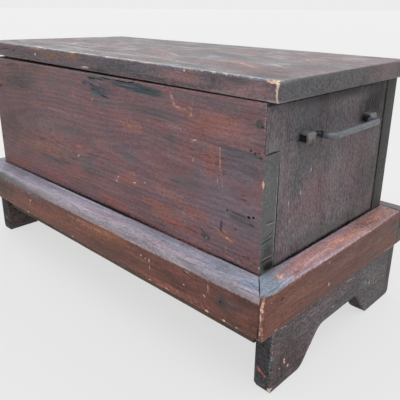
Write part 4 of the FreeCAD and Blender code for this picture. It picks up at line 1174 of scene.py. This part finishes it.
lid_front_colour = (0.116, 0.088, 0.097)
lid_end_front = (0.102, 0.098, 0.103)
lid_end_rear = (0.182, 0.126, 0.127)
lid_marks = [
    # A pale band along the top front arris: rubbed paint and a painted highlight.
    spot((0, -173, 454.5), (900, 6, 4), lid_pale, 0.7, 2.6, 0.5, 0, (0, 0.4, 0)),
] + [on_lid(*row) for row in (
    (300, 70, 130, 56, -12, (0.150, 0.098, 0.100), 0.7, 2.6, 0.9),
    (-230, 120, 24, 4, -60, (0.75, 0.75, 0.73), 0.9, 1.2, 0.6),
    (-350, 60, 60, 16, -20, lid_pale, 0.6, 2.4, 0.8),
    (-215, 235, 60, 16, -25, lid_rose, 0.75, 2.6, 0.8),
    (-120, 140, 70, 14, -25, lid_rose, 0.6, 2.6, 0.8),
    (20, 150, 90, 14, -25, lid_rose, 0.75, 2.6, 0.8),
    (60, 110, 80, 12, -20, lid_rose, 0.7, 2.6, 0.8),
    (70, 130, 40, 3, -25, (0.52, 0.43, 0.41), 0.6, 2.0, 0.7),
    (100, 340, 80, 22, 0, lid_rose, 0.6, 2.6, 0.9),
    (250, 110, 90, 20, -30, lid_rose, 0.75, 2.6, 0.8),
    (265, 100, 50, 3, -30, (0.46, 0.35, 0.35), 0.7, 2.0, 0.7),
    (300, 130, 40, 3, -30, (0.43, 0.47, 0.45), 0.7, 2.0, 0.7),
    (290, 235, 40, 14, -40, lid_rose, 0.8, 2.6, 0.8),
    (283, 235, 12, 4, -30, (0.64, 0.48, 0.39), 0.7, 2.0, 0.8),
    (0, 250, 70, 20, 0, lid_pale, 0.5, 2.6, 0.9),
    (-120, 60, 150, 14, -8, lid_pale, 0.6, 2.6, 0.8),
    (-200, 100, 120, 5, -10, (0.41, 0.41, 0.43), 0.6, 2.6, 0.8),
    (130, 60, 110, 8, -10, (0.32, 0.31, 0.35), 0.7, 2.6, 0.8),
    (150, 190, 120, 26, -20, lid_dark, 0.6, 2.6, 0.8),
    (-60, 280, 120, 14, -10, lid_dark, 0.5, 2.6, 0.8),
    (6, 10, 40, 9, -8, denim, 0.9, 2.2, 0.6),
)] + [on_lid_edge(*row) for row in (
    (38, 27, 20, 4, denim, 0.9, 1.4, 0.5),
    (195, 26, 18, 4, denim, 0.9, 1.4, 0.5),
)] + [on_lid(*row) for row in (
    (358, 8, 18, 6, -6, (0.119, 0.171, 0.26), 0.95, 1.6, 0.5),
    (280, 24, 40, 8, -8, lid_rose, 0.6, 2.4, 0.8),
    (-188, 9, 20, 3, -8, cream, 0.95, 1.6, 0.7),
    (-168, 5, 16, 2.6, -4, cream, 0.9, 1.6, 0.7),
    (-112, 7, 34, 3, -4, (0.48, 0.50, 0.52), 0.8, 2.0, 0.7),
    (-60, 5, 12, 3, -4, cream, 0.9, 1.6, 0.7),
    (-10, 8, 30, 4, -4, (0.52, 0.54, 0.57), 0.8, 2.0, 0.7),
    (-50, 7, 10, 3, -4, white_fleck, 0.95, 1.2, 0.6),
    (45, 5, 14, 2.6, 0, (0.70, 0.61, 0.57), 0.9, 1.6, 0.7),
    (105, 7, 24, 3, 0, (0.66, 0.59, 0.57), 0.85, 1.8, 0.7),
    (150, 5, 14, 2.6, 0, (0.66, 0.59, 0.57), 0.8, 1.8, 0.7),
    (215, 7, 30, 3, 0, (0.50, 0.47, 0.50), 0.6, 2.0, 0.7),
    (283, 5, 7, 2.2, 0, (0.66, 0.62, 0.61), 0.8, 1.2, 0.6),
    (308, 5, 7, 2.2, 0, (0.66, 0.62, 0.61), 0.8, 1.2, 0.6),
    (355, 6, 20, 3, 0, (0.50, 0.53, 0.58), 0.7, 1.6, 0.6),
)] + [
    spot((390, -60, 452), (4, 130, 3), (0.27, 0.25, 0.26), 0.4, 2.4, 0.6),
] + [on_lid(*row) for row in (
    (355, 30, 56, 32, 0, (0.105, 0.076, 0.079), 0.75, 2.4, 0.9),
    (345, 150, 50, 120, 0, (0.130, 0.100, 0.098), 0.5, 2.4, 0.9),
)] + [
    spot((0, -180, 439.3), (900, 7, 16.2), lid_front_colour, 0.97, 0.05, 0.16, 0, (0, 0.4, 0)),
] + [on_lid_edge(*row) for row in (
    (-330, 13, 60, 15, (0.117, 0.088, 0.088), 0.6, 2.4, 0.8),
    (-200, 15, 60, 12, (0.105, 0.078, 0.082), 0.7, 2.0, 0.8),
    (-130, 16, 44, 10, (0.165, 0.088, 0.060), 0.75, 2.0, 0.8),
    (-62, 19, 32, 8, (0.20, 0.105, 0.060), 0.9, 1.6, 0.7),
    (70, 14, 90, 15, (0.084, 0.082, 0.093), 0.8, 2.0, 0.7),
    (150, 13, 60, 15, (0.100, 0.095, 0.103), 0.6, 2.4, 0.8),
    (70, 22, 4, 3, (0.22, 0.108, 0.064), 0.7, 1.4, 0.8),
    (215, 14, 66, 15, (0.20, 0.118, 0.120), 0.8, 2.4, 0.8),
    (238, 20, 20, 6, (0.20, 0.097, 0.075), 0.6, 2.0, 0.8),
    (345, 12, 66, 15, (0.21, 0.130, 0.140), 0.85, 2.4, 0.8),
    (330, 20, 26, 6, slate, 0.7, 2.0, 0.8),
    (285, 16, 6, 10, (0.069, 0.073, 0.075), 0.8, 1.6, 0.6),
    (215, 22, 8, 3, denim, 0.5, 1.2, 0.6),
    (-180, 25, 34, 3, (0.32, 0.186, 0.129), 0.6, 1.6, 0.7),
    (-191, 14, 3, 2.6, white_fleck, 0.95, 0.2, 0.4),
    (229, 24, 2, 1.6, white_fleck, 0.95, 0.2, 0.4),
    (-21, 5, 14, 2, (0.52, 0.37, 0.36), 0.8, 1.2, 0.6),
    (12, 4, 3, 1.6, (0.52, 0.37, 0.36), 0.8, 1.0, 0.6),
    (20, 4, 36, 4, (0.046, 0.035, 0.035), 0.8, 1.6, 0.7),
    (-312, 16, 14, 1.4, soot_and_shade, 0.7, 1.0, 0.6, 1),
    (320, 4, 70, 3, (0.24, 0.160, 0.150), 0.6, 2.0, 0.7),
)] + [spot(*row) for row in (
    ((384, -178, 449), (12, 5, 2.6), (0.64, 0.43, 0.30), 0.95, 1.8, 0.6),
    ((391, -178, 448), (5, 5, 3.6), (0.71, 0.52, 0.37), 0.9, 1.8, 0.6),
    ((392, -177, 439), (4, 4, 14), cream, 0.85, 1.8, 0.6),
    ((393, -177, 427), (2, 3, 4), (0.50, 0.39, 0.37), 0.8, 1.0, 0.6),
    ((396, 7, 436), (5.5, 330, 17.5), lid_end_front, 0.97, 0.6, 0.2),
    ((396, 110, 436), (5.5, 90, 22), lid_end_rear, 0.85, 2.2, 0.6),
    ((399, -30, 436), (6, 280, 14.5), (0.034, 0.032, 0.034), 0.75, 5.0, 0.6, 0.5),
    ((399, -30, 436), (6, 280, 14.5), (0.20, 0.193, 0.198), 0.5, -5.0, 0.6),
    ((396, -120, 440), (5.5, 60, 10), (0.069, 0.073, 0.08), 0.6, 2.6, 0.8),
    ((396, 40, 430), (5.5, 26, 10), (0.058, 0.057, 0.059), 0.7, 2.4, 0.8),
)]
lid_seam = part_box("lid_front_plank")[1].y
under_lid = (
    Vector((interior_low.x, interior_low.y, rim_height - 2 * mm)),
    Vector((interior_high.x, interior_high.y, rim_height + 12 * mm)))


def at_lid_seam(edge):
    """The glued seam between the two planks, which doesn't show on the top."""
    return all(abs(corner.co.y - lid_seam) < 0.1 * mm for corner in edge.verts)


for name in ("lid_front_plank", "lid_rear_plank"):
    low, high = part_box(name)
    flat_low = Vector((low.x, low.y, rim_height))
    flat_high = Vector((high.x, high.y, rim_height + lid_thickness))
    plank = sawn_board(name + "_worn", flat_low, flat_high)
    edit(plank)
    for side, rise in lid_rise.items():
        for y in (low.y, high.y):
            lift = rise * (lid_high.y - y) / (lid_high.y - lid_low.y)
            choose(plank, "VERT", lambda corner: corner.co.x * side > 0 and abs(corner.co.y - y) < mm)
            bpy.ops.transform.translate(value=(0, 0, lift))
    leave()
    ease_arrises(plank, width=1.2 * mm, steps=3, sharp=at_lid_seam)
    divide(plank, cell=6 * mm)
    rub_down(plank, hollow=0.3 * mm, chip=0.5 * mm, sharp=at_lid_seam)
    lid_paint = old_paint(
        name + "_paint", grain="X", heart=(-0.05, 0.02, 0.60),
        coats=(lid_grey, lid_dark, lid_rose, lid_pale), shares=(0.8, 0.5, 0.5), marks=lid_marks,
        bare=under_lid, sheen=(0.42, 0.6), speckle=0.4, relief=0.8, figure=0.02, stripes=0.8,
    )
    fit(plank, "lid", "lid_paint", lid_paint, name)

# Two battens lie across the planks inside the case and keep them flat; their nails come up from below.
for name in ("lid_left_batten", "lid_right_batten"):
    coat(aged_pine, name)

# ---------------------------------------------------------------- nails, screws and hinges
# Cut nails with flat square heads, wood screws, and two plain iron hinges on the back, all rusted
# dull brown-black. The nails of the case and of the rails were driven first and painted over.
rust_start = 0.62
rust_full = 0.78
patch_span = (0.3, 0.7)
pit_span = (0.45, 0.7)
pit_strength = 0.5
pit_black = (0.02, 0.017, 0.017)
painted_shade_black = (0.006, 0.006, 0.007)
painted_shade_fade = 4 * mm


def rusty_iron(name, iron, rust, rust_share, sheen, metal, painted_shade_reach=None):
    """Old iron: a dark skin and brown rust in patches, painted black as shade out to a reach from the middle.
    """
    finish, tree, shader, point = new_finish(name)
    cloudy = {"Vector": point, "Scale": 55.0, "Detail": 6.0, "Roughness": 0.65}
    patches = put(tree, "TexNoise", cloudy).outputs[0]
    pits = put(tree, "TexNoise", {"Vector": point, "Scale": 420.0, "Detail": 3.0}).outputs[0]
    rusted = ramp(tree, patches, rust_start - rust_share, rust_full - rust_share)
    colour = lay(tree, rusted, iron, rust)
    colour = lay(tree, ramp(tree, pits, *pit_span, 0.0, pit_strength), colour, pit_black)
    # Painted shade: the bail is blackened where it lies within a reach of the middle, at its ends beside the
    # case.
    if painted_shade_reach is not None:
        aside = put(tree, "Math", {0: put(tree, "SeparateXYZ", {0: point}).outputs[0]}, operation="ABSOLUTE")
        painted_shade = ramp(tree, aside.outputs[0], painted_shade_reach, painted_shade_reach + painted_shade_fade, 0.95, 0.0)
        colour = lay(tree, painted_shade, colour, painted_shade_black)
    tree.links.new(colour, shader["Base Color"])
    tree.links.new(ramp(tree, rusted, 0.0, 1.0, metal, 0.0), shader["Metallic"])
    tree.links.new(ramp(tree, patches, *patch_span, *sheen), shader["Roughness"])
    height = reckon(tree, "ADD", pits, patches)
    bump = put(tree, "Bump", {"Strength": 0.5, "Distance": 0.0004, "Height": height})
    tree.links.new(bump.outputs[0], shader["Normal"])
    return finish


nail_iron = rusty_iron(
    "nail_iron", iron=(0.045, 0.042, 0.044), rust=(0.09, 0.045, 0.03), rust_share=0.15,
    sheen=(0.55, 0.8), metal=0.4,
)
coat(nail_iron, "floor_nails", "lid_batten_nails", "hinge_body_screws", "hinge_lid_screws")
coat(front_paint, "case_nails")
coat(rail_paint, "base_rail_nails")
for side in ("left", "right"):
    coat(nail_iron, side + "_hinge_body_leaf", side + "_hinge_lid_leaf", side + "_hinge_pin")

# ---------------------------------------------------------------- handles
# Each handle is a 10 mm iron rod bent to a bail, its ends drawn down to turn in two flat staples
# that are driven into the end board. Hands keep the grip blue grey, the bail's ends beside the case
# are painted black as shade, and the staples rust.
handle_iron = rusty_iron(
    "handle_iron", iron=(0.130, 0.140, 0.160), rust=(0.05, 0.046, 0.048), rust_share=0.04,
    sheen=(0.3, 0.5), metal=0.35, painted_shade_reach=394 * mm,
)
staple_iron = rusty_iron(
    "staple_iron", iron=(0.17, 0.17, 0.17), rust=(0.07, 0.035, 0.026), rust_share=0.12,
    sheen=(0.45, 0.7), metal=0.3,
)
coat(handle_iron, "right_handle_bail", "left_handle_bail")
for side in ("left", "right"):
    coat(staple_iron, side + "_handle_front_staple", side + "_handle_rear_staple")

# ---------------------------------------------------------------- studio
# The chest stands on a plain pale floor with a soft glow of its own, under a broad light from above and a
# pale sky that is brightest overhead. The camera looks down on its front right corner, with a 45 mm lens.
floor_radius = 40
floor_drop = 0.0005
floor_greys = ((0.130, 0.130, 0.130), (0.140, 0.140, 0.140))
sky_span = (0.35, 0.95)
sky_glow = (0.839, 1.7)
floor_finish, floor_tree, floor_shader, floor_point = new_finish("floor_pale")
cloudy = put(floor_tree, "TexNoise", {"Vector": floor_point, "Scale": 3.0, "Detail": 2.0}).outputs[0]
pale = lay(floor_tree, cloudy, *floor_greys)
floor_tree.links.new(pale, floor_shader["Base Color"])
floor_shader["Roughness"].default_value = 0.9
floor_shader["Specular IOR Level"].default_value = 0.1
floor_shader["Emission Color"].default_value = (1, 1, 1, 1)
floor_shader["Emission Strength"].default_value = 0.634
bpy.ops.object.select_all(action="DESELECT")
bpy.ops.mesh.primitive_circle_add(
    vertices=96, radius=floor_radius, fill_type="NGON", location=(0, 0, -floor_drop))
floor = bpy.context.object
floor.name = "floor"
floor.data.materials.append(floor_finish)

sky = bpy.data.worlds.new("sky")
sky.use_nodes = True
sky_tree = sky.node_tree
backdrop = sky_tree.nodes["Background"]
backdrop.inputs["Color"].default_value = (1, 1, 1, 1)
direction = put(sky_tree, "TexCoord", {}).outputs["Generated"]
upward = put(sky_tree, "SeparateXYZ", {0: direction}).outputs[2]
sky_tree.links.new(ramp(sky_tree, upward, *sky_span, *sky_glow), backdrop.inputs["Strength"])
bpy.context.scene.world = sky

light_turn = (math.radians(22), math.radians(16), 0)
bpy.ops.object.light_add(type="SUN", location=(0.5, -0.7, 2.5), rotation=light_turn)
soft_light = bpy.context.object
soft_light.name = "soft_light"
soft_light.data.angle = math.radians(70)
soft_light.data.energy = 0.6

camera_azimuth = math.radians(43.96)
camera_elevation = math.radians(20.03)
camera_roll = math.radians(0.37)
camera_place = Vector((0.7498, -0.6830, 0.5404))
flat = math.cos(camera_elevation)
forward = Vector((
    -math.sin(camera_azimuth) * flat, math.cos(camera_azimuth) * flat, -math.sin(camera_elevation)))
level = Vector((math.cos(camera_azimuth), math.sin(camera_azimuth), 0))
upright = level.cross(forward)
rolled_right = math.cos(camera_roll) * level + math.sin(camera_roll) * upright
rolled_up = math.cos(camera_roll) * upright - math.sin(camera_roll) * level
lens = bpy.data.cameras.new("camera")
lens.lens = 45.33
lens.sensor_width = 36
lens.shift_y = -0.0375
camera = bpy.data.objects.new("camera", lens)
bpy.context.scene.collection.objects.link(camera)
turned = Matrix((rolled_right, rolled_up, -forward)).transposed()
camera.matrix_world = Matrix.Translation(camera_place) @ turned.to_4x4()
bpy.context.scene.camera = camera
bpy.context.scene.view_settings.view_transform = "Standard"
